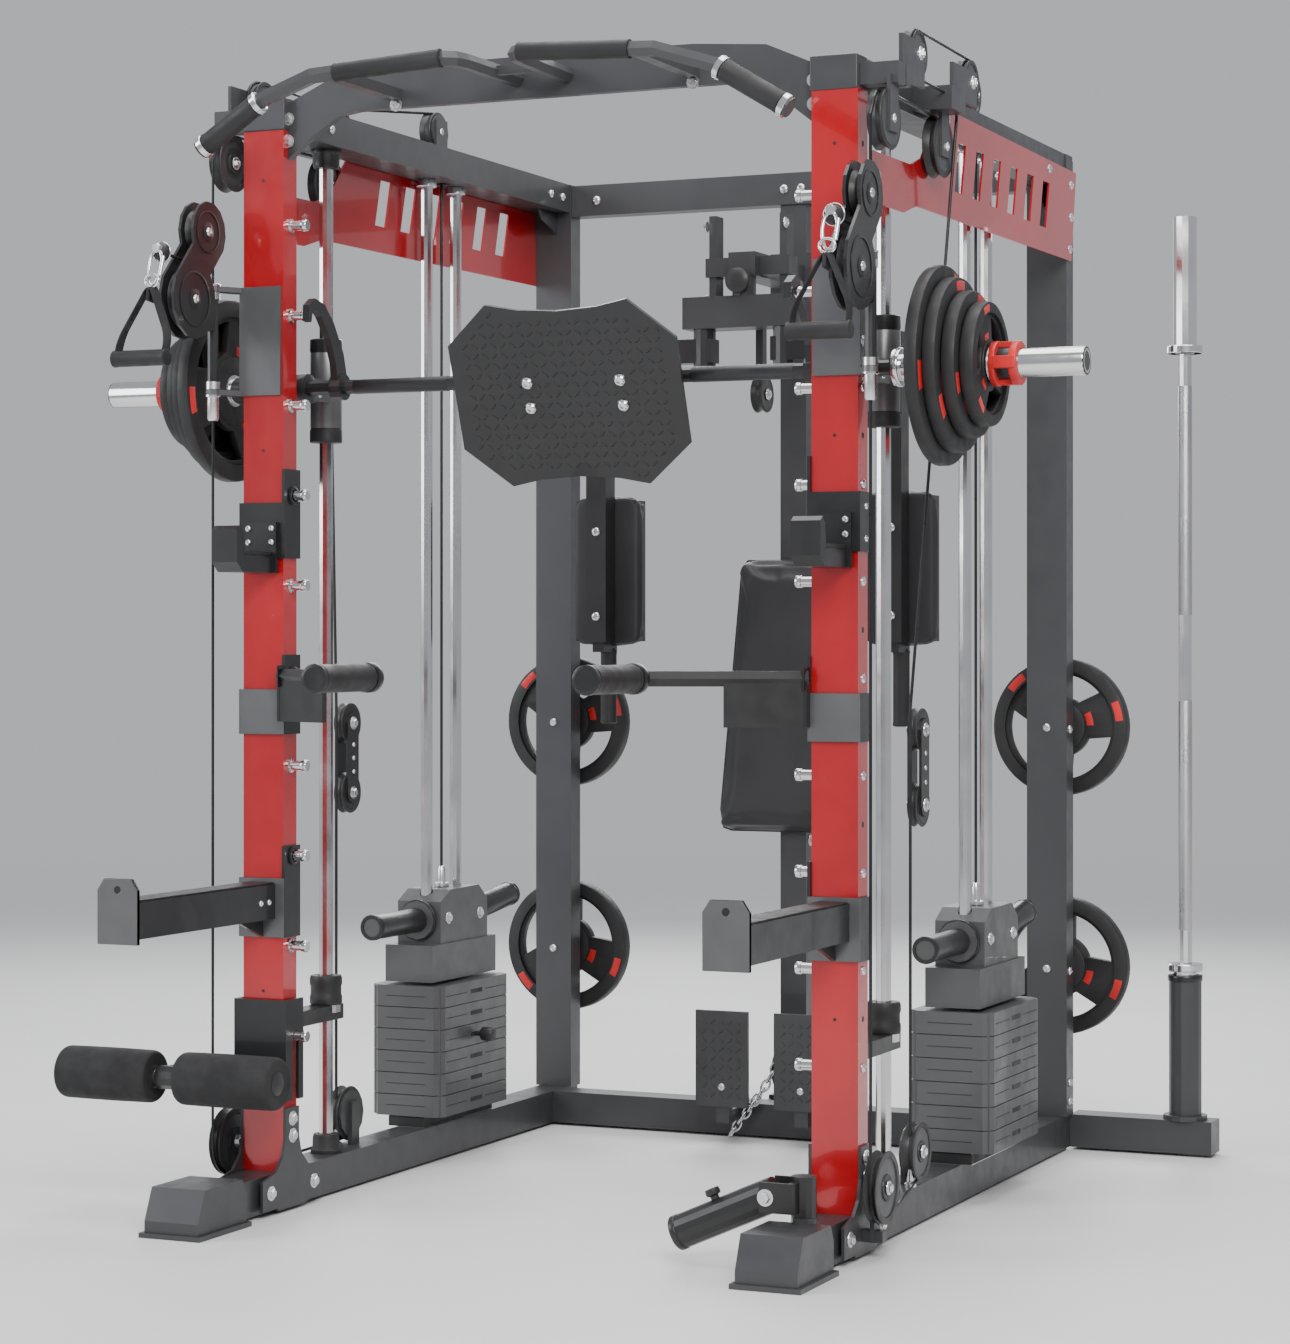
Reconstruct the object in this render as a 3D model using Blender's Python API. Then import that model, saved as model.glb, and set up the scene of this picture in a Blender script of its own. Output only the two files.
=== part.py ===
"""Smith machine with twin weight stacks, cable trolleys and its rack attachments.

Machine axes, in metres: X to the right, Y from the front faces of the front uprights to the
rear, Z up from the floor. A root empty moves the machine so that the world origin lies under
the middle of its footprint.
"""
import math

import bmesh
import bpy
from mathutils import Matrix, Vector

# ---------------------------------------------------------------- driving dimensions
FRONT_Y = -0.500        # front face of the spotter arms' end plates
REAR_Y = 1.430          # rear end of the storage pegs
Y_MID = (FRONT_Y + REAR_Y) / 2
GAP = 0.0003            # gap between pieces that touch

POST_X = 0.575          # centre plane of the uprights
POST_W = 0.0866         # upright section across
POST_D = 0.0492         # upright section front to rear
POST_IN = POST_X - POST_W / 2
POST_OUT = POST_X + POST_W / 2
REAR_POST_Y = 1.277     # front face of the rear uprights
TOP_Z = 2.100           # top of the uprights
BASE_Z = 0.0747         # top of the base rails
RAIL_Z = 2.038          # underside of the top side rails

PIN_Z0 = 0.330          # lowest latch pin
PIN_PITCH = 0.1701      # spacing of the latch pins
PIN_COUNT = 10
PIN_Y = 0.025
PIN_R = 0.009
PIN_TIP = 0.4945

ROD_X, ROD_Y, ROD_R = 0.578, 0.245, 0.014       # smith guide rods
BAR_Y, BAR_Z, BAR_R = 0.132, 1.562, 0.014       # smith bar
SLEEVE_R = 0.025
BAR_END = 0.992
PLATE_STACK = ((0.715, 0.741, 0.177), (0.741, 0.767, 0.155), (0.767, 0.794, 0.130),
               (0.794, 0.822, 0.110), (0.822, 0.875, 0.042))

STACK_X = 0.588         # weight stacks
STACK_RODS = (0.688, 0.820)
STACK_ROD_R = 0.0125
STACK_PLATES = 6
STACK_Z0, STACK_PITCH = 0.097, 0.045

CABLE_X, CABLE_Y = 0.658, -0.046                # front cable and swivel axis
CABLE_R = 0.003
BLOCK_X, BLOCK_Y = 0.601, 0.372                 # floating pulley blocks
BLOCK_AXES = (0.773, 0.912)
DROP_Y = 0.755          # cable above each stack
DROP_TOP = 2.136

OLY_X, OLY_Y = 0.851, 1.360                     # upright-stored Olympic bar
PEG_X, PEG_HEIGHTS = 0.580, (0.385, 0.893)      # storage pegs
PEC_X, PEC_Y = 0.090, 1.000                     # pivots of the pec-fly arms
ROLLER_Y, ROLLER_Z = -0.106, 0.257
MINE_X, MINE_Y, MINE_PX, MINE_PZ = 0.575, -0.150, 0.520, 0.130

# ---------------------------------------------------------------- scene set-up
for stale in list(bpy.data.objects):
    bpy.data.objects.remove(stale, do_unlink=True)
PARTS = bpy.data.collections.new("smith_machine")
bpy.context.scene.collection.children.link(PARTS)
ROOT = bpy.data.objects.new("machine_root", None)
ROOT.location = (0.0, -Y_MID, 0.0)
PARTS.objects.link(ROOT)


def material(name, colour, roughness, metallic):
    """A Principled material in one colour."""
    made = bpy.data.materials.new(name)
    made.use_nodes = True
    shader = made.node_tree.nodes["Principled BSDF"]
    shader.inputs["Base Color"].default_value = (*colour, 1.0)
    shader.inputs["Roughness"].default_value = roughness
    shader.inputs["Metallic"].default_value = metallic
    made.diffuse_color = (*colour, 1.0)
    return made


LOOKS = {
    "red": ((0.60, 0.02, 0.02), 0.28, 0.1),
    "frame": ((0.07, 0.07, 0.075), 0.42, 0.3),
    "satin": ((0.12, 0.122, 0.126), 0.38, 0.6),
    "steel": ((0.62, 0.62, 0.63), 0.22, 1.0),
    "black": ((0.015, 0.015, 0.016), 0.45, 0.0),
    "rubber": ((0.02, 0.02, 0.021), 0.75, 0.0),
    "vinyl": ((0.018, 0.018, 0.02), 0.5, 0.0),
}


# ---------------------------------------------------------------- shapes
def finish(bm, name="shape"):
    """Turn a bmesh into a mesh."""
    mesh = bpy.data.meshes.new(name)
    bmesh.ops.recalc_face_normals(bm, faces=bm.faces)
    bm.to_mesh(mesh)
    bm.free()
    return mesh


def box(x0, x1, y0, y1, z0, z1):
    """An axis-aligned block between two corners."""
    bm = bmesh.new()
    bmesh.ops.create_cube(bm, size=1.0)
    size = Matrix.Diagonal((x1 - x0, y1 - y0, z1 - z0, 1.0))
    middle = Matrix.Translation(((x0 + x1) / 2, (y0 + y1) / 2, (z0 + z1) / 2))
    bmesh.ops.transform(bm, matrix=middle @ size, verts=bm.verts)
    return finish(bm)


def rod(start, end, radius, sides=10, end_radius=None):
    """A round bar, or a cone, from one point to another."""
    start, end = Vector(start), Vector(end)
    along = end - start
    bm = bmesh.new()
    bmesh.ops.create_cone(bm, cap_ends=True, segments=sides, radius1=radius,
                          radius2=radius if end_radius is None else end_radius,
                          depth=along.length)
    turn = Vector((0, 0, 1)).rotation_difference(along).to_matrix().to_4x4()
    bmesh.ops.transform(bm, matrix=Matrix.Translation((start + end) / 2) @ turn, verts=bm.verts)
    return finish(bm)


def ball(centre, radius):
    """A small round ball."""
    bm = bmesh.new()
    bmesh.ops.create_uvsphere(bm, u_segments=10, v_segments=6, radius=radius)
    bmesh.ops.translate(bm, vec=centre, verts=bm.verts)
    return finish(bm)


def from_curve(curve):
    """Mesh of a curve, with its caps welded on."""
    holder = bpy.data.objects.new("curve", curve)
    bpy.context.scene.collection.objects.link(holder)
    graph = bpy.context.evaluated_depsgraph_get()
    mesh = bpy.data.meshes.new_from_object(holder.evaluated_get(graph))
    bpy.data.objects.remove(holder, do_unlink=True)
    bm = bmesh.new()
    bm.from_mesh(mesh)
    bmesh.ops.remove_doubles(bm, verts=bm.verts, dist=0.00005)
    return finish(bm)


def pipe(points, radius, resolution=1, closed=False):
    """A tube along a line of points."""
    curve = bpy.data.curves.new("pipe", "CURVE")
    curve.dimensions = "3D"
    curve.bevel_depth = radius
    curve.bevel_resolution = resolution
    curve.use_fill_caps = not closed
    line = curve.splines.new("POLY")
    line.points.add(len(points) - 1)
    for point, place in zip(line.points, points):
        point.co = (*place, 1.0)
    line.use_cyclic_u = closed
    return from_curve(curve)


def slab(outline, axis, low, high, holes=()):
    """A flat plate: an outline in the plane across `axis`, between low and high along it.

    The outline is (y, z) across X, (x, z) across Y and (x, y) across Z.
    """
    curve = bpy.data.curves.new("slab", "CURVE")
    curve.dimensions = "2D"
    curve.fill_mode = "BOTH"
    curve.extrude = (high - low) / 2
    for loop in (outline, *holes):
        line = curve.splines.new("POLY")
        line.points.add(len(loop) - 1)
        for point, (u, v) in zip(line.points, loop):
            point.co = (u, v, 0.0, 1.0)
        line.use_cyclic_u = True
    mesh = from_curve(curve)
    middle = (low + high) / 2
    columns = {
        "X": ((0, 0, 1, middle), (1, 0, 0, 0), (0, 1, 0, 0)),
        "Y": ((1, 0, 0, 0), (0, 0, -1, middle), (0, 1, 0, 0)),
        "Z": ((1, 0, 0, 0), (0, 1, 0, 0), (0, 0, 1, middle)),
    }[axis]
    mesh.transform(Matrix((*columns, (0, 0, 0, 1))))
    return mesh


def circle(u, v, radius, sides=12):
    """Points of a circle, for an outline or a hole."""
    steps = [2 * math.pi * k / sides for k in range(sides)]
    return [(u + radius * math.cos(a), v + radius * math.sin(a)) for a in steps]


def arc(u, v, radius, start, end, steps):
    """Points of an arc, with its angles in degrees."""
    turns = [math.radians(start + (end - start) * k / steps) for k in range(steps + 1)]
    return [(u + radius * math.cos(a), v + radius * math.sin(a)) for a in turns]


def bend(corners, radius, steps=3):
    """A line of points with each inner corner rounded."""
    points = [Vector(corners[0])]
    for before, corner, after in zip(corners, corners[1:], corners[2:]):
        before, corner, after = Vector(before), Vector(corner), Vector(after)
        back = (before - corner).normalized() * radius
        ahead = (after - corner).normalized() * radius
        for k in range(steps + 1):
            t = k / steps
            points.append(corner + back * (1 - t) ** 2 + ahead * t ** 2)
    points.append(Vector(corners[-1]))
    return points


def moved(mesh, matrix):
    """The same mesh, turned or shifted."""
    mesh.transform(matrix)
    return mesh


def mirrored(mesh):
    """The same mesh on the other side of the middle plane."""
    mesh.transform(Matrix.Diagonal((-1.0, 1.0, 1.0, 1.0)))
    mesh.flip_normals()
    return mesh


def combine(base, others, operation):
    """Union or difference of a mesh with a list of meshes."""
    body = bpy.data.objects.new("body", base)
    bpy.context.scene.collection.objects.link(body)
    tools = []
    for mesh in others:
        tool = bpy.data.objects.new("tool", mesh)
        bpy.context.scene.collection.objects.link(tool)
        tools.append(tool)
        step = body.modifiers.new("join", "BOOLEAN")
        step.operation = operation
        step.solver = "EXACT"
        step.object = tool
    graph = bpy.context.evaluated_depsgraph_get()
    result = bpy.data.meshes.new_from_object(body.evaluated_get(graph))
    for spent in (body, *tools):
        bpy.data.objects.remove(spent, do_unlink=True)
    return result


def place(name, look, mesh, origin):
    """One named part under the root, with its origin at the given machine point."""
    mesh.transform(Matrix.Translation(-Vector(origin)))
    mesh.shade_smooth()
    mesh.set_sharp_from_angle(angle=math.radians(35))
    mesh.materials.clear()
    mesh.materials.append(material(name + "_look", *LOOKS[look]))
    part = bpy.data.objects.new(name, mesh)
    part.parent = ROOT
    part.location = origin
    PARTS.objects.link(part)
    return part


def solid(name, look, shapes, cuts=(), origin=(0.0, 0.0, 0.0)):
    """Join the shapes, cut them, and place the result as one part."""
    mesh = combine(shapes[0], shapes[1:], "UNION") if len(shapes) > 1 else shapes[0]
    if cuts:
        mesh = combine(mesh, cuts, "DIFFERENCE")
    bm = bmesh.new()
    bm.from_mesh(mesh)
    bmesh.ops.dissolve_limit(bm, angle_limit=0.001, verts=bm.verts, edges=bm.edges)
    bmesh.ops.remove_doubles(bm, verts=bm.verts, dist=0.00002)
    bm.to_mesh(mesh)
    bm.free()
    return place(name, look, mesh, origin)


def flipped(source, name, look):
    """The left-hand copy of a right-hand part."""
    mesh = mirrored(source.data.copy())
    x, y, z = source.location
    return place(name, look, mesh_at(mesh, (-x, y, z)), (-x, y, z))


def mesh_at(mesh, origin):
    """A mesh in machine coordinates again, from one about its origin."""
    mesh.transform(Matrix.Translation(origin))
    return mesh


def pair(name, look, shapes, cuts=(), origin=(0.0, 0.0, 0.0)):
    """A right-hand part and its mirrored left-hand copy."""
    right = solid(name + "_right", look, shapes, cuts, origin)
    flipped(right, name + "_left", look)
    return right


# ---------------------------------------------------------------- frame
def gusset(x0, x1):
    """A curved foot gusset, lying on one side of an upright and its rail."""
    outline = [(-0.085, 0.012), (-0.085, 0.068), (-0.036, 0.080), (-0.010, 0.105), (0.0, 0.140),
               (0.0, 0.195), (0.049, 0.195), (0.049, 0.140), (0.059, 0.105), (0.085, 0.080),
               (0.135, 0.068), (0.135, 0.012)]
    return slab(outline, "X", x0, x1)


def wheel(x, y, z, radius, half, sides=12):
    """A pulley wheel that turns about an axle along X."""
    return rod((x - half, y, z), (x + half, y, z), radius, sides)


def base_rail_shapes():
    """Side rail with its front shoe, foot gussets and low pulleys."""
    shoe = [(-0.325, 0.0), (-0.325, 0.030), (-0.300, 0.088), (-0.170, 0.088), (-0.155, 0.060),
            (-0.155, 0.0)]
    return [
        box(0.540, 0.610, -0.165, 1.330, 0.006, BASE_Z),
        slab(shoe, "X", 0.519, 0.631),
        box(0.511, 0.639, -0.332, -0.150, 0.0, 0.009),
        box(0.5257, 0.6243, -0.030, 0.080, 0.007, BASE_Z - 0.001),
        gusset(POST_OUT + GAP, POST_OUT + 0.006),
        gusset(POST_IN - 0.006, POST_IN - GAP),
        box(0.545, 0.605, 1.240, 1.320, 0.0, 0.010),
        box(0.545, 0.605, 0.020, 0.120, 0.0, 0.010),
        box(0.606, 0.662, 0.004, 0.028, 0.030, 0.050),
        box(0.640, 0.648, 0.000, 0.032, 0.030, 0.150),
        wheel(0.655, 0.016, 0.125, 0.056, 0.010),
        box(0.575, 0.585, 0.345, 0.375, 0.060, 0.160),
        wheel(0.597, 0.360, 0.135, 0.047, 0.014),
    ]


solid("base_rail_left", "frame", [mirrored(mesh) for mesh in base_rail_shapes()])
solid("base_rail_right", "frame", base_rail_shapes() + [
    rod((MINE_X, MINE_Y, 0.060), (MINE_X, MINE_Y, 0.0950), 0.022, 10)])

FOOT_PLATE_X = 0.090
beam = [box(-0.5397, 0.5397, 1.200, 1.270, 0.006, BASE_Z),
        box(-0.060, 0.060, 1.205, 1.345, 0.006, BASE_Z - 0.001)]
for side in (-1, 1):
    middle = side * FOOT_PLATE_X
    beam.append(box(middle - 0.015, middle + 0.015, 1.099, 1.230, 0.045, 0.072))
    beam.append(box(middle - 0.015, middle + 0.015, 1.099, 1.120, 0.050, 0.240))
    beam.append(box(middle - 0.060, middle + 0.060, 1.092, 1.101, 0.080, 0.285))
solid("rear_base_beam", "frame", beam)

solid("bar_holder", "frame", [
    box(0.6105, 0.915, 1.325, 1.395, 0.006, BASE_Z),
    box(0.850, 0.905, 1.335, 1.385, 0.0, 0.010),
    rod((OLY_X, OLY_Y, 0.060), (OLY_X, OLY_Y, 0.376), 0.034, 16),
    rod((OLY_X, OLY_Y, 0.0742), (OLY_X, OLY_Y, 0.084), 0.046, 16),
], [rod((OLY_X, OLY_Y, 0.078), (OLY_X, OLY_Y, 0.400), 0.0285, 16)])


def post_shapes(y0):
    """An upright with its cap."""
    return [box(POST_IN, POST_OUT, y0, y0 + POST_D, BASE_Z + GAP, TOP_Z - 0.010),
            box(POST_IN + 0.001, POST_OUT - 0.001, y0 + 0.001, y0 + POST_D - 0.001,
                TOP_Z - 0.012, TOP_Z)]


pins = [rod((POST_IN + 0.010, PIN_Y, z), (PIN_TIP, PIN_Y, z), PIN_R, 8)
        for z in [PIN_Z0 + PIN_PITCH * k for k in range(PIN_COUNT)]]
pair("front_upright", "red", post_shapes(0.0) + pins)

pegs = [rod((PEG_X, REAR_POST_Y + 0.030, z), (PEG_X, REAR_Y, z), 0.0245, 12) for z in PEG_HEIGHTS]
flanges = [rod((PEG_X, REAR_POST_Y + 0.040, z), (PEG_X, REAR_POST_Y + POST_D + 0.008, z), 0.037, 12)
           for z in PEG_HEIGHTS]
pair("rear_upright", "frame", post_shapes(REAR_POST_Y) + pegs + flanges)

pair("top_side_rail", "frame", [
    box(0.535, 0.615, POST_D + GAP, REAR_POST_Y - GAP, RAIL_Z, TOP_Z),
    box(0.600, 0.690, 0.0520, 0.072, 2.046, 2.086),
    box(POST_OUT + 0.0005, 0.689, 0.010, 0.071, 2.047, 2.085),
    box(0.672, 0.679, -0.002, 0.040, 1.962, 2.060),
    wheel(0.662, 0.016, 1.985, 0.047, 0.012),
    box(0.600, 0.690, 0.300, 0.380, 2.045, 2.088),
    box(0.653, 0.660, 0.335, 0.377, 1.965, 2.060),
    wheel(0.645, 0.360, 1.985, 0.047, 0.010),
    box(0.676, 0.683, 0.050, 0.170, 2.060, 2.140),
    wheel(0.669, 0.150, 2.120, 0.037, 0.010),
    box(0.676, 0.683, 0.330, 0.470, 2.070, 2.135),
    wheel(0.669, 0.450, 2.115, 0.037, 0.010),
    box(0.566, 0.573, 0.690, 0.740, 2.080, 2.165),
    wheel(0.583, 0.715, 2.140, 0.037, 0.013),
], [box(0.574, 0.602, 0.742, 0.770, 2.000, 2.130)])

solid("rear_top_beam", "frame", [
    box(-POST_IN + GAP, POST_IN - GAP, 1.280, REAR_POST_Y + POST_D, 2.028, 2.097)])


def mirrored_outline(half):
    """A closed outline from its right half, listed from the top middle to the bottom middle."""
    return half + [(-u, v) for u, v in reversed(half) if abs(u) > 1e-6]


arch_half = [(0.0, 2.146), (0.300, 2.143), (0.440, 2.132), (POST_IN - GAP, 2.092),
             (POST_IN - GAP, 1.986), (0.485, 2.022), (0.420, 2.062), (0.380, 2.068), (0.0, 2.068)]
arch = [slab(mirrored_outline(arch_half), "Y", 0.016, 0.034)]
for side in (-1, 1):
    route = bend([(side * 0.050, 0.025, 2.104), (side * 0.056, -0.236, 2.104),
                  (side * 0.335, -0.236, 2.090)], 0.045)
    route += [Vector((side * 0.446, -0.227, 2.055)), Vector((side * 0.577, -0.221, 1.974))]
    arch.append(pipe(route, 0.015, 1))
    arch.append(rod((side * 0.452, -0.2266, 2.051), (side * 0.577, -0.221, 1.974), 0.0185, 10))
    arch.append(box(side * 0.300 - 0.012, side * 0.300 + 0.012, -0.236, 0.025, 2.082, 2.102))
arch.append(box(-0.060, 0.060, -0.085, -0.070, 2.096, 2.112))
solid("front_arch", "frame", arch)

panel_outline = [(0.060, 1.850), (0.060, 1.940), (0.270, 1.942), (0.330, 1.962), (0.390, 2.030),
                 (0.430, 2.074), (1.335, 2.066), (1.300, 1.876), (0.300, 1.870), (0.230, 1.850)]
SLOT_COUNT = 6
panel_slots = []
for k in range(SLOT_COUNT):
    y = 0.520 + 0.110 * k
    panel_slots.append([(y, 1.925), (y + 0.045, 1.925), (y + 0.070, 2.020), (y + 0.025, 2.020)])
pair("side_panel", "red", [slab(panel_outline, "X", POST_OUT + 0.0004, POST_OUT + 0.0044,
                                panel_slots)])

solid("rear_column", "frame", [
    box(-0.030, 0.030, 1.285, 1.335, BASE_Z + GAP, 2.028 - GAP),
    box(-0.055, 0.055, 1.279, 1.341, BASE_Z + GAP, 0.084),
    box(-0.012, 0.012, 1.230, 1.290, 0.120, 0.180),
    wheel(0.0, 1.225, 0.150, 0.038, 0.011),
    box(-0.090, 0.090, 1.2825, 1.290, 0.720, 0.780),
    box(-0.090, 0.090, 1.2825, 1.290, 1.080, 1.140),
])

pad_half = [(0.0, 1.261), (0.105, 1.258), (0.120, 1.240), (0.172, 0.700), (0.165, 0.660),
            (0.145, 0.654), (0.0, 0.654)]
solid("back_pad", "vinyl", [slab(mirrored_outline(pad_half), "Y", 1.222, 1.282)])

pair("smith_rod", "steel", [
    rod((ROD_X, ROD_Y, BASE_Z + GAP), (ROD_X, ROD_Y, RAIL_Z - GAP), ROD_R),
    rod((ROD_X, ROD_Y, BASE_Z + GAP), (ROD_X, ROD_Y, 0.110), 0.024),
    box(0.556, 0.600, POST_D + GAP, 0.275, 0.336, 0.364),
    rod((ROD_X, ROD_Y, 0.350), (ROD_X, ROD_Y, 0.420), 0.029),
])

pair("stack_guide", "steel", [
    box(0.546, 0.630, 0.600, 0.908, BASE_Z + GAP, 0.0962),
    *[rod((STACK_X, y, 0.085), (STACK_X, y, RAIL_Z - GAP), STACK_ROD_R, 10) for y in STACK_RODS],
])

# ---------------------------------------------------------------- weight stacks and cables
rod_holes = [rod((STACK_X, y, 0.0), (STACK_X, y, 1.0), STACK_ROD_R + 0.0015, 10) for y in STACK_RODS]


def holes_for_rods():
    """Bores for the two guide rods."""
    return [mesh.copy() for mesh in rod_holes]


STACK_TOP = STACK_Z0 + STACK_PITCH * STACK_PLATES
slabs = [box(0.512, 0.664, 0.602, 0.906, STACK_Z0 + 0.004, STACK_TOP - 0.004)]
corner = 0.018
for k in range(STACK_PLATES):
    low = STACK_Z0 + STACK_PITCH * k + 0.0008
    outline = [(0.505 + corner, 0.594), (0.671 - corner, 0.594), (0.671, 0.594 + corner),
               (0.671, 0.914 - corner), (0.671 - corner, 0.914), (0.505 + corner, 0.914),
               (0.505, 0.914 - corner), (0.505, 0.594 + corner)]
    slabs.append(slab(outline, "Z", low, low + STACK_PITCH - 0.0016))
pair("weight_plates", "satin", slabs, holes_for_rods(), (STACK_X, 0.754, STACK_Z0))

HEAD_X0, HEAD_X1 = STACK_X - 0.050, STACK_X + 0.050
head_side = [(0.655, 0.440), (0.655, 0.535), (0.700, 0.558), (0.830, 0.560), (0.870, 0.530),
             (0.870, 0.440)]
pair("weight_head", "satin", [
    box(STACK_X - 0.055, STACK_X + 0.055, 0.610, 0.900, 0.3722, 0.448),
    slab(head_side, "X", HEAD_X0, HEAD_X1),
    rod((STACK_X, 0.700, 0.497), (STACK_X, 0.450, 0.497), 0.024),
    rod((STACK_X, 0.662, 0.497), (STACK_X, 0.642, 0.497), 0.040, 12),
    rod((STACK_X, 0.830, 0.490), (STACK_X, 1.080, 0.522), 0.024),
    rod((STACK_X, 0.862, 0.494), (STACK_X, 0.884, 0.497), 0.040, 12),
], holes_for_rods(), (STACK_X, 0.754, STACK_Z0))

block = []
for side in (-1, 1):
    x = BLOCK_X + side * 0.0115
    ends = (arc(BLOCK_Y, BLOCK_AXES[1], 0.022, 0, 180, 4)
            + arc(BLOCK_Y, BLOCK_AXES[0], 0.022, 180, 360, 4))
    block.append(slab(ends, "X", x - 0.0025, x + 0.0025))
for z in BLOCK_AXES:
    block.append(wheel(BLOCK_X, BLOCK_Y, z, 0.034, 0.0095, 10))
pair("floating_pulley", "black", block, (), (BLOCK_X, BLOCK_Y, sum(BLOCK_AXES) / 2))


def around(y, z, radius, start, end, x0, x1, steps=5):
    """Points where a cable wraps a wheel in the plane across X."""
    path = arc(y, z, radius, start, end, steps)
    return [(x0 + (x1 - x0) * k / steps, u, v) for k, (u, v) in enumerate(path)]


WRAP = 0.0035
loop = around(0.360, 1.985, 0.047 + WRAP + 0.003, 0, 90, 0.641, 0.641)
loop += around(0.016, 1.985, 0.047 + WRAP + 0.003, 90, 180, CABLE_X, CABLE_X)
loop[-1] = (CABLE_X, CABLE_Y, 1.985)
loop += [(CABLE_X, CABLE_Y, z) for z in (1.500, 1.000, 0.500)]
loop += around(0.016, 0.125, 0.056 + WRAP + 0.0025, 180, 270, CABLE_X, CABLE_X)
loop += around(0.360, 0.135, 0.047 + WRAP, 270, 360, 0.604, 0.604)
pair("cable_loop", "black", [pipe([Vector(point) for point in loop], CABLE_R, 1)])

pair("lift_cable", "black", [
    pipe([Vector((STACK_X, DROP_Y, z)) for z in (0.5607, 1.000, 1.500, DROP_TOP)], CABLE_R, 1)],
     (), (STACK_X, DROP_Y, DROP_TOP))

# ---------------------------------------------------------------- smith bar
pair("smith_carriage", "satin", [
    rod((ROD_X, ROD_Y, 1.464), (ROD_X, ROD_Y, 1.666), 0.030, 12),
    box(0.556, 0.600, 0.140, 0.232, 1.540, 1.584),
    rod((0.552, BAR_Y, BAR_Z), (0.604, BAR_Y, BAR_Z), 0.0265, 12),
], [
    rod((ROD_X, ROD_Y, 1.400), (ROD_X, ROD_Y, 1.700), ROD_R + 0.0008),
    rod((0.500, BAR_Y, BAR_Z), (0.650, BAR_Y, BAR_Z), BAR_R + 0.0010, 12),
], (ROD_X, ROD_Y, BAR_Z))

bar = [rod((-0.658, BAR_Y, BAR_Z), (0.658, BAR_Y, BAR_Z), BAR_R, 10)]
hook = [(0.116, 1.548), (0.148, 1.552), (0.150, 1.580), (0.136, 1.626), (0.098, 1.682),
        (0.062, 1.714), (0.026, 1.722), (0.004, 1.708), (0.002, 1.680), (0.012, 1.676),
        (0.016, 1.694), (0.030, 1.703), (0.050, 1.690), (0.084, 1.652), (0.106, 1.606)]
for side in (-1, 1):
    bar.append(rod((side * 0.650, BAR_Y, BAR_Z), (side * BAR_END, BAR_Y, BAR_Z), SLEEVE_R, 14))
    bar.append(rod((side * 0.640, BAR_Y, BAR_Z), (side * 0.654, BAR_Y, BAR_Z), 0.034, 14))
    low, high = sorted((side * 0.478, side * 0.492))
    bar.append(slab(hook, "X", low, high))
    bar.append(rod((low - 0.004, BAR_Y, BAR_Z), (high + 0.005, BAR_Y, BAR_Z), 0.0255, 14))
solid("smith_bar", "black", bar, (), (0.0, BAR_Y, BAR_Z))

PRESS_X, PRESS_TILT = 0.015, 20.0
press_half = [(0.0, 0.158), (0.080, 0.163), (0.143, 0.175), (0.231, 0.100), (0.231, -0.100),
              (0.140, -0.175), (0.080, -0.163), (0.0, -0.158)]
press_place = (Matrix.Translation((PRESS_X, 0.100, 1.532))
               @ Matrix.Rotation(math.radians(PRESS_TILT), 4, "X"))
press = [moved(slab(mirrored_outline(press_half), "Y", -0.004, 0.004), press_place)]
for x in (-0.064, 0.124):
    press.append(moved(box(x - PRESS_X - 0.026, x - PRESS_X + 0.026, 0.003, 0.045, -0.010, 0.044),
                       press_place))
solid("leg_press_plate", "black", press,
      [rod((-0.200, BAR_Y, BAR_Z), (0.200, BAR_Y, BAR_Z), BAR_R + 0.0006, 12)],
      (0.0, BAR_Y, BAR_Z))

pair("bar_plates", "rubber", [
    rod((x0 - 0.001 * (k > 0), BAR_Y, BAR_Z), (x1, BAR_Y, BAR_Z), radius, 22 if k < 4 else 14)
    for k, (x0, x1, radius) in enumerate(PLATE_STACK)],
     [rod((0.700, BAR_Y, BAR_Z), (0.900, BAR_Y, BAR_Z), SLEEVE_R + 0.0008, 14)],
     (PLATE_STACK[0][0], BAR_Y, BAR_Z))

# ---------------------------------------------------------------- cable trolleys
TROLLEY_Z0, TROLLEY_Z1 = 1.540, 1.745
nose = arc(CABLE_X, CABLE_Y, 0.0135, 180, 390, 8)
bracket = [(0.6190, -0.004), *nose, (0.6460, 0.010), (0.6190, 0.030)]
pair("trolley", "satin", [
    box(POST_OUT + GAP, POST_OUT + 0.006, -0.006, POST_D + 0.006, TROLLEY_Z0, TROLLEY_Z1),
    box(0.536, POST_OUT + 0.005, -0.006, -GAP, TROLLEY_Z0, TROLLEY_Z1),
    box(0.536, POST_OUT + 0.005, POST_D + GAP, POST_D + 0.006, TROLLEY_Z0, TROLLEY_Z1),
    slab(bracket, "Z", TROLLEY_Z0, TROLLEY_Z0 + 0.010),
    slab(bracket, "Z", TROLLEY_Z1 - 0.010, TROLLEY_Z1),
], [rod((CABLE_X, CABLE_Y, 1.500), (CABLE_X, CABLE_Y, 1.800), CABLE_R + 0.003, 10)],
     (CABLE_X, CABLE_Y, TROLLEY_Z0))

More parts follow.
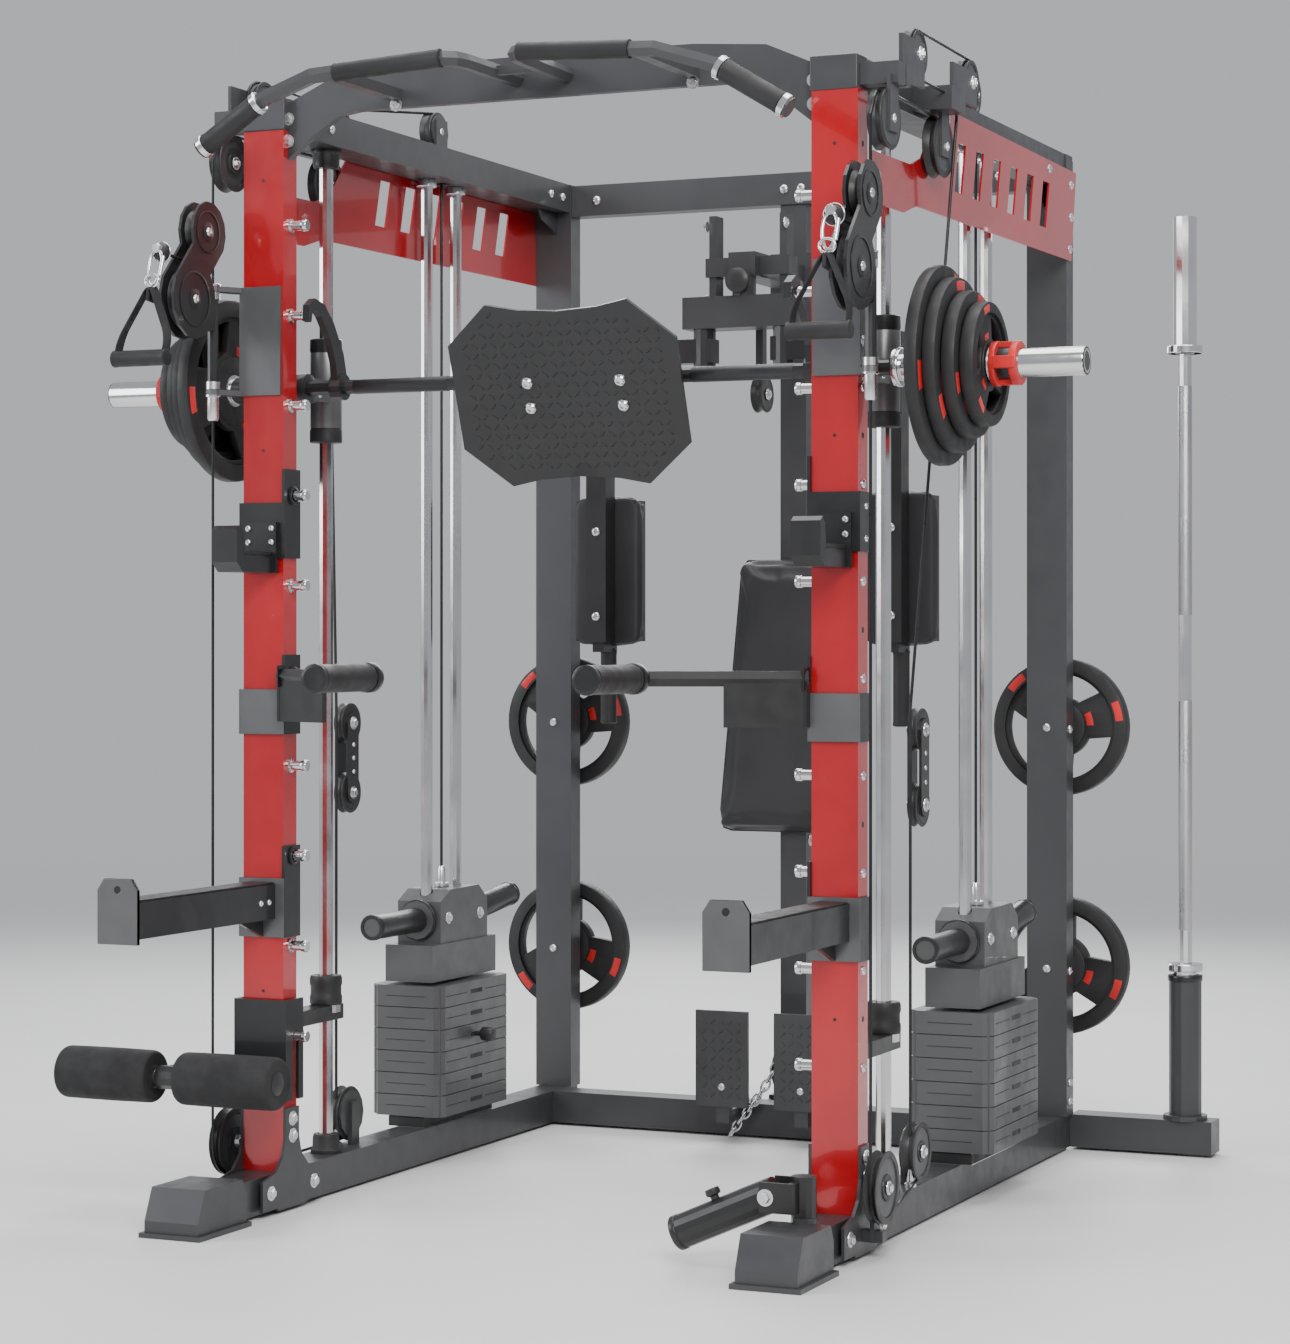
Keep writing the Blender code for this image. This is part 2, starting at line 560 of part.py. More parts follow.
UPPER_Y, UPPER_Z, UPPER_R = -0.085, 1.842, 0.058
LOWER_Y, LOWER_Z, LOWER_R = -0.137, 1.712, 0.074
lobes = (arc(LOWER_Y, LOWER_Z, LOWER_R, 150, 402, 10)
         + arc(UPPER_Y, UPPER_Z, UPPER_R, -30, 205, 9))
housing = []
for side in (-1, 1):
    x = CABLE_X + side * 0.0135
    housing.append(slab(lobes, "X", x - 0.0030, x + 0.0030))
housing.append(rod((CABLE_X - 0.012, UPPER_Y - 0.006, UPPER_Z),
                   (CABLE_X + 0.012, UPPER_Y - 0.006, UPPER_Z),
                   0.034, 10))
housing.append(wheel(CABLE_X, LOWER_Y, LOWER_Z, 0.050, 0.012))
housing.append(rod((CABLE_X, CABLE_Y, 1.5505), (CABLE_X, CABLE_Y, 1.7345), 0.0105, 10))
housing.append(box(CABLE_X - 0.0085, CABLE_X + 0.0085, -0.090, CABLE_Y - 0.006, 1.660, 1.724))
pair("swivel_head", "black", housing,
     [rod((CABLE_X, CABLE_Y, 1.500), (CABLE_X, CABLE_Y, 1.950), CABLE_R + 0.0015, 10)],
     (CABLE_X, CABLE_Y, LOWER_Z))

BALL_Y, BALL_Z = -0.226, 1.790
GRIP_Y, GRIP_Z, GRIP_HALF = -0.296, 1.590, 0.058
LEG_X = GRIP_HALF - 0.008
legs = bend([(CABLE_X - LEG_X, GRIP_Y, GRIP_Z),
             (CABLE_X - LEG_X, GRIP_Y + 0.018, GRIP_Z + 0.055),
             (CABLE_X, BALL_Y - 0.022, BALL_Z - 0.058),
             (CABLE_X + LEG_X, GRIP_Y + 0.018, GRIP_Z + 0.055),
             (CABLE_X + LEG_X, GRIP_Y, GRIP_Z)], 0.016, 2)
pair("strap_handle", "black", [
    ball((CABLE_X, BALL_Y, BALL_Z), 0.0165),
    rod((CABLE_X, BALL_Y, BALL_Z), (CABLE_X, BALL_Y - 0.022, BALL_Z - 0.060), 0.006, 8),
    pipe(legs, 0.0065, 1),
    rod((CABLE_X - GRIP_HALF, GRIP_Y, GRIP_Z), (CABLE_X + GRIP_HALF, GRIP_Y, GRIP_Z), 0.0145, 10),
], (), (CABLE_X, BALL_Y, BALL_Z))

# ---------------------------------------------------------------- attachments on the latch pins
SKIN = 0.006


def channel(z0, z1, plate_top, pin):
    """A sleeve around three sides of an upright, open to the rear, with its inner pin plate."""
    inner = [(-SKIN, z0), (POST_D + 0.004, z0), (POST_D + 0.004, pin - 0.0105),
             (PIN_Y - 0.004, pin - 0.0105), *arc(PIN_Y, pin, 0.0105, 250, 110, 4),
             (PIN_Y - 0.004, pin + 0.0105), (POST_D + 0.004, pin + 0.0105),
             (POST_D + 0.004, plate_top), (-SKIN, plate_top)]
    return [
        box(POST_OUT + GAP, POST_OUT + SKIN, -SKIN, POST_D + 0.004, z0, z1),
        box(POST_IN - SKIN + 0.001, POST_OUT + SKIN - 0.001, -SKIN, -GAP, z0, z1),
        slab(inner, "X", POST_IN - SKIN, POST_IN - GAP),
    ]


def pin_height(k):
    """Height of a latch pin, counted from the lowest."""
    return PIN_Z0 + PIN_PITCH * k


cradle = [(-0.005, 1.204), (-0.120, 1.204), (-0.142, 1.222), (-0.142, 1.282), (-0.130, 1.290),
          (-0.122, 1.280), (-0.118, 1.236), (-0.005, 1.236)]
pair("j_hook", "black", channel(1.232, 1.337, 1.400, pin_height(6)) + [
    slab(cradle, "X", 0.548, 0.602),
    box(0.540, 0.610, -0.014, -0.004, 1.204, 1.300),
], (), (POST_X, 0.0, 1.232))

dip_route = [Vector((0.529, -0.010, 1.010)), Vector((0.360, -0.092, 1.010))]
dip_route += bend([(0.360, -0.092, 1.010), (0.262, -0.140, 1.010), (0.262, -0.200, 1.010)], 0.030)[1:]
pair("dip_handle", "black", channel(0.900, 0.985, 1.050, pin_height(4)) + [
    pipe(dip_route, 0.0155, 1),
    rod((0.262, -0.155, 1.010), (0.262, -0.360, 1.010), 0.0245, 12),
    box(0.5262, 0.5290, -0.030, 0.000, 0.990, 1.030),
    slab([(0.529, -0.004), (0.529, -0.022), (0.400, -0.085), (0.400, -0.070)], "Z", 0.925, 1.005),
    box(0.526, 0.532, -0.024, -0.002, 0.925, 1.005),
], (), (POST_X, 0.0, 0.900))

end_plate = [(POST_X - 0.041, 0.545), (POST_X + 0.041, 0.545), (POST_X + 0.041, 0.640),
             (POST_X + 0.028, 0.660), (POST_X - 0.028, 0.660), (POST_X - 0.041, 0.640)]
pair("spotter_arm", "black", channel(0.517, 0.629, 0.690, pin_height(2)) + [
    box(POST_X - 0.030, POST_X + 0.030, -0.494, -0.003, 0.553, 0.618),
    slab(end_plate, "Y", FRONT_Y, FRONT_Y + 0.008),
    slab([(-0.004, 0.517), (-0.110, 0.556), (-0.004, 0.556)], "X", POST_X - 0.004, POST_X + 0.004),
], (), (POST_X, 0.0, 0.517))

roller_pin = pin_height(0)
roller_inner = [(-SKIN, 0.194), (PIN_Y - 0.0105, 0.194), (PIN_Y - 0.0105, roller_pin - 0.004),
                *arc(PIN_Y, roller_pin, 0.0105, 200, -20, 5), (PIN_Y + 0.0105, roller_pin - 0.004),
                (PIN_Y + 0.0105, 0.194), (POST_D + 0.004, 0.194), (POST_D + 0.004, 0.400),
                (-SKIN, 0.400)]
solid("leg_roller_bracket", "black", [mirrored(mesh) for mesh in (
    box(POST_OUT + 0.0068, POST_OUT + 0.0128, -0.0128, POST_D + 0.004, 0.210, 0.400),
    box(POST_IN - 0.0128 + 0.001, POST_OUT + 0.012, -0.0128, -0.0068, 0.210, 0.400),
    slab([(u - 0.0068 * (u < 0), v + 0.016 * (v < 0.2)) for u, v in roller_inner], "X",
         POST_IN - 0.0128, POST_IN - 0.0068),
    box(0.600, 0.734, -0.0240, -0.0100, 0.236, 0.278),
    box(0.699, 0.732, ROLLER_Y, -0.0120, 0.238, 0.276),
    rod((0.696, ROLLER_Y, ROLLER_Z), (0.7355, ROLLER_Y, ROLLER_Z), 0.0225, 10),
)], [mirrored(rod((0.650, ROLLER_Y, ROLLER_Z), (0.800, ROLLER_Y, ROLLER_Z), 0.0110, 10))],
      (-POST_X, 0.0, 0.210))

solid("foam_rollers", "rubber", [
    rod((-0.952, ROLLER_Y, ROLLER_Z), (-0.472, ROLLER_Y, ROLLER_Z), 0.0100, 10),
    rod((-0.944, ROLLER_Y, ROLLER_Z), (-0.745, ROLLER_Y, ROLLER_Z), 0.0500, 16),
    rod((-0.686, ROLLER_Y, ROLLER_Z), (-0.480, ROLLER_Y, ROLLER_Z), 0.0500, 16),
], (), (-0.715, ROLLER_Y, ROLLER_Z))

# ---------------------------------------------------------------- pec-fly arms
solid("pec_bracket", "frame", [
    box(-0.030, 0.030, 0.985, 1.2847, 1.842, 1.892),
    box(-0.050, 0.050, 1.276, 1.2847, 1.815, 1.920),
    box(-0.095, 0.095, 1.016, 1.064, 1.845, 1.885),
    box(-0.088, -0.072, 1.020, 1.060, 1.770, 1.975),
    box(0.072, 0.088, 1.020, 1.060, 1.770, 1.975),
    box(-0.131, 0.131, 0.975, 1.050, 1.733, 1.800),
    rod((0.0, 1.000, 1.790), (0.0, 1.000, 1.846), 0.025, 10),
    box(-0.020, 0.020, 1.050, 1.110, 1.745, 1.795),
    box(-0.008, 0.008, 1.085, 1.108, 1.585, 1.750),
    rod((-0.012, 1.100, 1.600), (0.012, 1.100, 1.600), 0.034, 10),
], [rod((side * PEC_X, PEC_Y, 1.700), (side * PEC_X, PEC_Y, 1.745), 0.0085, 10)
    for side in (-1, 1)])

PEC_ARM_X = 0.333
pair("pec_arm", "black", [
    box(0.066, 0.356, 0.980, 1.022, 1.662, 1.712),
    rod((PEC_X, PEC_Y, 1.655), (PEC_X, PEC_Y, 1.7325), 0.0235, 10),
    rod((PEC_X, PEC_Y, 1.720), (PEC_X, PEC_Y, 1.744), 0.0075, 10),
    box(0.310, 0.356, 0.978, 1.026, 1.073, 1.711),
    box(PEC_ARM_X - 0.070, PEC_ARM_X + 0.070, 1.030, 1.082, 1.075, 1.377),
    box(PEC_ARM_X - 0.015, PEC_ARM_X + 0.015, 1.020, 1.036, 1.120, 1.320),
    box(0.320, 0.346, 0.990, 1.060, 1.052, 1.080),
    rod((PEC_ARM_X, 1.045, 1.060), (PEC_ARM_X, 1.045, 0.900), 0.016, 10),
], (), (PEC_X, PEC_Y, 1.687))

# ---------------------------------------------------------------- landmine
EAR = 0.040
solid("landmine_swivel", "black", [
    rod((MINE_X, MINE_Y, 0.0954), (MINE_X, MINE_Y, 0.165), 0.022, 12),
    box(0.508, 0.572, MINE_Y - EAR, MINE_Y - EAR + 0.006, 0.104, 0.156),
    box(0.508, 0.572, MINE_Y + EAR - 0.006, MINE_Y + EAR, 0.104, 0.156),
    box(0.560, 0.574, MINE_Y - EAR, MINE_Y + EAR, 0.104, 0.156),
], (), (MINE_X, MINE_Y, 0.0954))

MINE_TIP = Vector((0.340, MINE_Y, 0.050))
mine_pivot = Vector((MINE_PX, MINE_Y, MINE_PZ))
mine_along = (MINE_TIP - mine_pivot).normalized()
solid("landmine_tube", "black", [
    rod(mine_pivot - mine_along * 0.006, MINE_TIP, 0.0300, 16),
    rod((MINE_PX, MINE_Y - EAR + 0.0065, MINE_PZ), (MINE_PX, MINE_Y + EAR - 0.0065, MINE_PZ), 0.012, 10),
], [rod(mine_pivot + mine_along * 0.030, MINE_TIP + mine_along * 0.020, 0.0260, 16)],
      tuple(mine_pivot))

# ---------------------------------------------------------------- stored bar and plates
solid("olympic_bar", "steel", [
    rod((OLY_X, OLY_Y, 0.0847), (OLY_X, OLY_Y, 0.390), 0.025, 12),
    rod((OLY_X, OLY_Y, 0.384), (OLY_X, OLY_Y, 0.400), 0.036, 12),
    rod((OLY_X, OLY_Y, 0.390), (OLY_X, OLY_Y, 1.690), BAR_R, 10),
    rod((OLY_X, OLY_Y, 1.678), (OLY_X, OLY_Y, 1.694), 0.036, 12),
    rod((OLY_X, OLY_Y, 1.688), (OLY_X, OLY_Y, 1.964), 0.025, 12),
], (), (OLY_X, OLY_Y, 0.0847))

for label, z in zip(("low", "high"), PEG_HEIGHTS):
    pair("stored_plate_" + label, "rubber", [
        rod((PEG_X, 1.352, z), (PEG_X, 1.388, z), 0.147, 22),
        rod((PEG_X, 1.349, z), (PEG_X, 1.391, z), 0.042, 14),
    ], [rod((PEG_X, 1.300, z), (PEG_X, 1.420, z), 0.0255, 14)], (PEG_X, 1.370, z))
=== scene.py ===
"""Visual model of the smith machine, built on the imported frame."""
import math

import bmesh
import bpy
from mathutils import Matrix, Vector


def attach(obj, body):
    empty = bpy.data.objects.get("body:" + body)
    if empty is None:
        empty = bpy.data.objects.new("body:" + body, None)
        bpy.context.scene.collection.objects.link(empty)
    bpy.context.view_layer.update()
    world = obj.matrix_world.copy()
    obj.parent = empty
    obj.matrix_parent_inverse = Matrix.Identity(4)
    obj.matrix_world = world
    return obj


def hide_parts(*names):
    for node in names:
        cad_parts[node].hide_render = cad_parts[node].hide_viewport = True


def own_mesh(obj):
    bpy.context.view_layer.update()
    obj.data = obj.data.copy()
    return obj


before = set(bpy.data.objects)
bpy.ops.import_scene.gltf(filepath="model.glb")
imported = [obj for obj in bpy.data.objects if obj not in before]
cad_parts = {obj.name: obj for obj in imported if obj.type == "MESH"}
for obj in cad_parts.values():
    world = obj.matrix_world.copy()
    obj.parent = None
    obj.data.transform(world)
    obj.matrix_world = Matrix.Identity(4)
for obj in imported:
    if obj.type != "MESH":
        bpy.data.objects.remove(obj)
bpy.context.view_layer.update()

Y_MID = 0.465           # the machine's front datum lies this far before the world origin
SHIFT = Matrix.Translation((0.0, -Y_MID, 0.0))

# ---------------------------------------------------------------- camera, floor and lights
CAMERA_AT = (2.555, -5.3131 - Y_MID, 1.0785)
YAW, PITCH = math.radians(-23.788), math.radians(0.136)
camera_data = bpy.data.cameras.new("camera")
camera_data.lens = 86.80
camera_data.sensor_width = 36.0
camera_data.shift_y = -0.0298
camera = bpy.data.objects.new("camera", camera_data)
forward = Vector((math.sin(YAW) * math.cos(PITCH), math.cos(YAW) * math.cos(PITCH), math.sin(PITCH)))
camera.rotation_mode = "QUATERNION"
camera.rotation_quaternion = forward.to_track_quat("-Z", "Y")
camera.location = CAMERA_AT
bpy.context.scene.collection.objects.link(camera)
bpy.context.scene.camera = camera


def area_light(name, place, aim, width, height, power, colour=(1.0, 1.0, 1.0)):
    """A soft rectangular light aimed at a point."""
    data = bpy.data.lights.new(name, "AREA")
    data.shape = "RECTANGLE"
    data.size, data.size_y = width, height
    data.energy = power
    data.color = colour
    lamp = bpy.data.objects.new(name, data)
    lamp.location = place
    lamp.rotation_mode = "QUATERNION"
    lamp.rotation_quaternion = (Vector(aim) - Vector(place)).to_track_quat("-Z", "Y")
    bpy.context.scene.collection.objects.link(lamp)


area_light("key", (3.2, -4.6, 4.2), (0.0, 0.0, 1.0), 3.2, 2.4, 330, (1.0, 0.985, 0.96))
area_light("fill", (-4.4, -3.0, 2.8), (0.0, 0.0, 1.0), 3.0, 3.0, 150, (0.95, 0.975, 1.0))
area_light("top", (0.0, 0.2, 5.0), (0.0, 0.2, 0.0), 4.0, 4.0, 210)
area_light("rim", (-1.5, 4.5, 3.2), (0.0, 0.3, 1.2), 3.5, 2.5, 170)

BACKDROP, BACKDROP_STRENGTH = (0.93, 0.95, 1.0), 0.55
world = bpy.data.worlds.new("world")
bpy.context.scene.world = world
world.use_nodes = True
world.node_tree.nodes["Background"].inputs["Color"].default_value = (*BACKDROP, 1.0)
world.node_tree.nodes["Background"].inputs["Strength"].default_value = BACKDROP_STRENGTH


# ---------------------------------------------------------------- materials
class Look:
    """A Principled material with colour, roughness and bump detail from noise."""

    def __init__(self, name, colour, rough, metal=0.0, coat=0.0, spec=0.5):
        self.made = bpy.data.materials.new(name)
        self.made.use_nodes = True
        self.tree = self.made.node_tree
        self.shader = self.tree.nodes["Principled BSDF"]
        self.colour, self.rough = colour, rough
        self.set("Base Color", (*colour, 1.0))
        self.set("Roughness", rough)
        self.set("Metallic", metal)
        self.set("Coat Weight", coat)
        self.set("Specular IOR Level", spec)
        self.bumps = []

    def set(self, socket, value):
        self.shader.inputs[socket].default_value = value

    def node(self, kind, **values):
        made = self.tree.nodes.new(kind)
        for key, value in values.items():
            setattr(made, key, value)
        return made

    def place(self, stretch=(1.0, 1.0, 1.0)):
        """Object coordinates, stretched along each axis."""
        where = self.node("ShaderNodeTexCoord")
        mapping = self.node("ShaderNodeMapping")
        mapping.inputs["Scale"].default_value = stretch
        self.tree.links.new(where.outputs["Object"], mapping.inputs["Vector"])
        return mapping.outputs["Vector"]

    def noise(self, scale, detail=3.0, stretch=(1.0, 1.0, 1.0)):
        made = self.node("ShaderNodeTexNoise")
        made.inputs["Scale"].default_value = scale
        made.inputs["Detail"].default_value = detail
        self.tree.links.new(self.place(stretch), made.inputs["Vector"])
        return made.outputs["Fac"]

    def vary(self, source, low, high, socket, start=0.35, end=0.65):
        """Drive a number or colour socket from a 0-1 source."""
        if socket == "Base Color":
            ramp = self.node("ShaderNodeValToRGB")
            ramp.color_ramp.elements[0].position = start
            ramp.color_ramp.elements[1].position = end
            ramp.color_ramp.elements[0].color = (*low, 1.0)
            ramp.color_ramp.elements[1].color = (*high, 1.0)
            self.tree.links.new(source, ramp.inputs["Fac"])
            self.tree.links.new(ramp.outputs["Color"], self.shader.inputs[socket])
            return
        spread = self.node("ShaderNodeMapRange")
        spread.inputs["From Min"].default_value = start
        spread.inputs["From Max"].default_value = end
        spread.inputs["To Min"].default_value = low
        spread.inputs["To Max"].default_value = high
        self.tree.links.new(source, spread.inputs["Value"])
        self.tree.links.new(spread.outputs["Result"], self.shader.inputs[socket])

    def bump(self, source, strength, distance=0.001):
        made = self.node("ShaderNodeBump")
        made.inputs["Strength"].default_value = strength
        made.inputs["Distance"].default_value = distance
        self.tree.links.new(source, made.inputs["Height"])
        if self.bumps:
            self.tree.links.new(self.bumps[-1].outputs["Normal"], made.inputs["Normal"])
        self.bumps.append(made)
        self.tree.links.new(made.outputs["Normal"], self.shader.inputs["Normal"])


def shade(colour, factor):
    """A colour made lighter or darker."""
    return tuple(min(1.0, c * factor) for c in colour)


def coated(name, colour, rough, metal=0.0, coat=0.0, peel=0.10, wear=0.10):
    """Powder-coated metal: fine orange peel, slight handling marks."""
    look = Look(name, colour, rough, metal, coat)
    broad = look.noise(3.2, 4.0)
    look.vary(broad, shade(colour, 0.88), shade(colour, 1.12), "Base Color")
    look.vary(look.noise(26.0, 5.0), rough - wear / 2, rough + wear, "Roughness", 0.3, 0.75)
    look.bump(look.noise(900.0, 2.0), peel, 0.0004)
    return look.made


def polished(name, colour, rough, stretch=(1.0, 1.0, 1.0), metal=1.0):
    """Bright metal with fine drawn lines and faint smears."""
    look = Look(name, colour, rough, metal)
    look.vary(look.noise(14.0, 4.0), rough * 0.7, rough * 1.5, "Roughness", 0.3, 0.7)
    look.vary(look.noise(5.0, 3.0), shade(colour, 0.90), shade(colour, 1.06), "Base Color")
    look.bump(look.noise(420.0, 3.0, stretch), 0.05, 0.0003)
    return look.made


def rubbery(name, colour, rough, grain=700.0, depth=0.25):
    """Rubber, foam or moulded plastic with a fine grain."""
    look = Look(name, colour, rough, 0.0, 0.0, 0.4)
    look.vary(look.noise(8.0, 4.0), shade(colour, 0.75), shade(colour, 1.35), "Base Color")
    look.vary(look.noise(40.0, 4.0), rough - 0.08, rough + 0.08, "Roughness")
    look.bump(look.noise(grain, 3.0), depth, 0.0006)
    return look.made


def leathery(name, colour, rough):
    """Upholstery vinyl: cells of leather grain with soft creases."""
    look = Look(name, colour, rough, 0.0, 0.08, 0.45)
    look.vary(look.noise(6.0, 3.0), shade(colour, 0.8), shade(colour, 1.3), "Base Color")
    cells = look.node("ShaderNodeTexVoronoi", feature="DISTANCE_TO_EDGE")
    cells.inputs["Scale"].default_value = 420.0
    look.tree.links.new(look.place(), cells.inputs["Vector"])
    look.bump(cells.outputs["Distance"], 0.35, 0.0006)
    look.bump(look.noise(22.0, 4.0), 0.12, 0.002)
    return look.made


def woven(name, colour, rough):
    """Nylon webbing: crossing ribs."""
    look = Look(name, colour, rough, 0.0, 0.0, 0.3)
    ribs = look.node("ShaderNodeTexWave", wave_type="BANDS", bands_direction="DIAGONAL")
    ribs.inputs["Scale"].default_value = 260.0
    look.tree.links.new(look.place(), ribs.inputs["Vector"])
    look.vary(look.noise(30.0), shade(colour, 0.7), shade(colour, 1.5), "Base Color")
    look.bump(ribs.outputs["Fac"], 0.5, 0.0008)
    return look.made


def knurled(name, colour, rough):
    """Bar steel with a diamond knurl."""
    look = Look(name, colour, rough, 1.0)
    look.vary(look.noise(9.0, 4.0), rough * 0.8, rough * 1.4, "Roughness")
    for turn in ("X", "Z"):
        ribs = look.node("ShaderNodeTexWave", wave_type="BANDS", bands_direction=turn)
        ribs.inputs["Scale"].default_value = 220.0
        look.tree.links.new(look.place(), ribs.inputs["Vector"])
        look.bump(ribs.outputs["Fac"], 0.18, 0.0006)
    look.vary(look.noise(4.0, 2.0), shade(colour, 0.9), shade(colour, 1.1), "Base Color")
    return look.made


RED = coated("red_gloss", (0.42, 0.007, 0.012), 0.20, 0.15, 0.7, 0.05, 0.08)
FRAME = coated("frame_grey", (0.050, 0.051, 0.055), 0.40, 0.25, 0.15, 0.14)
BLACK = coated("black_coat", (0.014, 0.014, 0.015), 0.36, 0.1, 0.15, 0.14)
SATIN = coated("satin_grey", (0.13, 0.132, 0.137), 0.36, 0.55, 0.1, 0.12)
STACK = coated("stack_grey", (0.075, 0.076, 0.080), 0.38, 0.2, 0.2, 0.16, 0.14)
DARK_KNURL = knurled("dark_knurl", (0.06, 0.06, 0.063), 0.34)
STEEL = polished("chrome", (0.72, 0.72, 0.73), 0.13)
ROD = polished("ground_rod", (0.68, 0.68, 0.69), 0.16, (1.0, 1.0, 0.05))
ZINC = polished("zinc_bolt", (0.74, 0.74, 0.75), 0.24)
KNURL = knurled("knurled_steel", (0.50, 0.50, 0.51), 0.28)
RUBBER = rubbery("black_rubber", (0.016, 0.016, 0.017), 0.55, 500.0)
FOAM = rubbery("foam", (0.020, 0.020, 0.021), 0.82, 900.0, 0.6)
PLASTIC = rubbery("moulded_plastic", (0.022, 0.022, 0.023), 0.42, 1200.0, 0.12)
VINYL = leathery("vinyl", (0.020, 0.020, 0.022), 0.56)
WEB = woven("webbing", (0.018, 0.018, 0.02), 0.75)
CABLE = rubbery("cable_jacket", (0.012, 0.012, 0.013), 0.35, 1500.0, 0.1)
REDPLASTIC = rubbery("red_plastic", (0.55, 0.02, 0.02), 0.35, 1200.0, 0.1)

floor_look = Look("pale_floor", (0.72, 0.72, 0.715), 0.55, 0.0, 0.0, 0.35)
floor_look.vary(floor_look.noise(0.6, 3.0), (0.70, 0.70, 0.695), (0.75, 0.75, 0.745), "Base Color")
distance = floor_look.node("ShaderNodeVectorMath", operation="LENGTH")
floor_look.tree.links.new(floor_look.place(), distance.inputs[0])
fade = floor_look.node("ShaderNodeMapRange", interpolation_type="SMOOTHSTEP")
fade.inputs["From Min"].default_value, fade.inputs["From Max"].default_value = 3.0, 11.0
floor_look.tree.links.new(distance.outputs["Value"], fade.inputs["Value"])
haze = floor_look.node("ShaderNodeEmission")
haze.inputs["Color"].default_value = (*BACKDROP, 1.0)
haze.inputs["Strength"].default_value = BACKDROP_STRENGTH
blend = floor_look.node("ShaderNodeMixShader")
output = next(n for n in floor_look.tree.nodes if n.type == "OUTPUT_MATERIAL")
surface = output.inputs["Surface"].links[0].from_socket
floor_look.tree.links.new(fade.outputs["Result"], blend.inputs["Fac"])
floor_look.tree.links.new(surface, blend.inputs[1])
floor_look.tree.links.new(haze.outputs["Emission"], blend.inputs[2])
floor_look.tree.links.new(blend.outputs["Shader"], output.inputs["Surface"])
floor_mesh = bpy.data.meshes.new("floor")
floor_bm = bmesh.new()
bmesh.ops.create_grid(floor_bm, x_segments=1, y_segments=1, size=30.0)
floor_bm.to_mesh(floor_mesh)
floor_bm.free()
floor = bpy.data.objects.new("floor", floor_mesh)
floor_mesh.materials.append(floor_look.made)
bpy.context.scene.collection.objects.link(floor)


# ---------------------------------------------------------------- shapes
def piece(name, mesh, look, body, bevel=0.0, segments=2, smooth=40.0):
    """A mesh in machine coordinates as a named piece that rides on a body."""
    mesh.transform(SHIFT)
    mesh.shade_smooth()
    mesh.set_sharp_from_angle(angle=math.radians(smooth))
    mesh.materials.clear()
    mesh.materials.append(look)
    made = bpy.data.objects.new(name, mesh)
    bpy.context.scene.collection.objects.link(made)
    if bevel:
        rounding(made, bevel, segments)
    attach(made, body)
    return made


def rounding(made, width, segments=2):
    """Rounded edges that keep flat faces flat."""
    edge = made.modifiers.new("edges", "BEVEL")
    edge.width = width
    edge.segments = segments
    edge.limit_method = "ANGLE"
    edge.angle_limit = math.radians(40)
    edge.harden_normals = True
    edge.use_clamp_overlap = True


def to_mesh(bm, name="shape"):
    mesh = bpy.data.meshes.new(name)
    bm.to_mesh(mesh)
    bm.free()
    return mesh


def merged(meshes):
    """Several meshes as one, each keeping its own surfaces."""
    bm = bmesh.new()
    for mesh in meshes:
        bm.from_mesh(mesh)
    return to_mesh(bm)


def box(x0, x1, y0, y1, z0, z1):
    bm = bmesh.new()
    bmesh.ops.create_cube(bm, size=1.0)
    size = Matrix.Diagonal((abs(x1 - x0), abs(y1 - y0), abs(z1 - z0), 1.0))
    middle = Matrix.Translation(((x0 + x1) / 2, (y0 + y1) / 2, (z0 + z1) / 2))
    bmesh.ops.transform(bm, matrix=middle @ size, verts=bm.verts)
    return to_mesh(bm)


def aim(start, direction):
    """Matrix that takes +Z to a direction, at a point."""
    turn = Vector((0, 0, 1)).rotation_difference(Vector(direction)).to_matrix().to_4x4()
    return Matrix.Translation(Vector(start)) @ turn


def turned(start, direction, profile, sides=32):
    """A round piece: (radius, height) pairs spun about a direction through a point."""
    bm = bmesh.new()
    rings = []
    for radius, height in profile:
        if radius < 1e-6:
            rings.append([bm.verts.new((0.0, 0.0, height))])
            continue
        turns = [2 * math.pi * k / sides for k in range(sides)]
        rings.append([bm.verts.new((radius * math.cos(a), radius * math.sin(a), height)) for a in turns])
    for low, high in zip(rings, rings[1:]):
        for k in range(sides):
            n = (k + 1) % sides
            if len(low) == 1 and len(high) == 1:
                continue
            if len(low) == 1:
                bm.faces.new((low[0], high[n], high[k]))
            elif len(high) == 1:
                bm.faces.new((low[k], low[n], high[0]))
            else:
                bm.faces.new((low[k], low[n], high[n], high[k]))
    bmesh.ops.recalc_face_normals(bm, faces=bm.faces)
    bmesh.ops.transform(bm, matrix=aim(start, direction), verts=bm.verts)
    return to_mesh(bm)


def rod(start, end, radius, sides=24, lip=0.0008):
    """A round bar with softened ends."""
    start, end = Vector(start), Vector(end)
    length = (end - start).length
    lip = min(lip, radius / 2, length / 3)
    profile = [(0, 0), (radius - lip, 0), (radius, lip), (radius, length - lip),
               (radius - lip, length), (0, length)]
    return turned(start, end - start, profile, sides)


def tube(points, radius, resolution=4, closed=False):
    """A round tube along a line of points."""
    curve = bpy.data.curves.new("tube", "CURVE")
    curve.dimensions = "3D"
    curve.bevel_depth = radius
    curve.bevel_resolution = resolution
    curve.use_fill_caps = not closed
    line = curve.splines.new("POLY")
    line.points.add(len(points) - 1)
    for point, place in zip(line.points, points):
        point.co = (*place, 1.0)
    line.use_cyclic_u = closed
    return curve_mesh(curve)


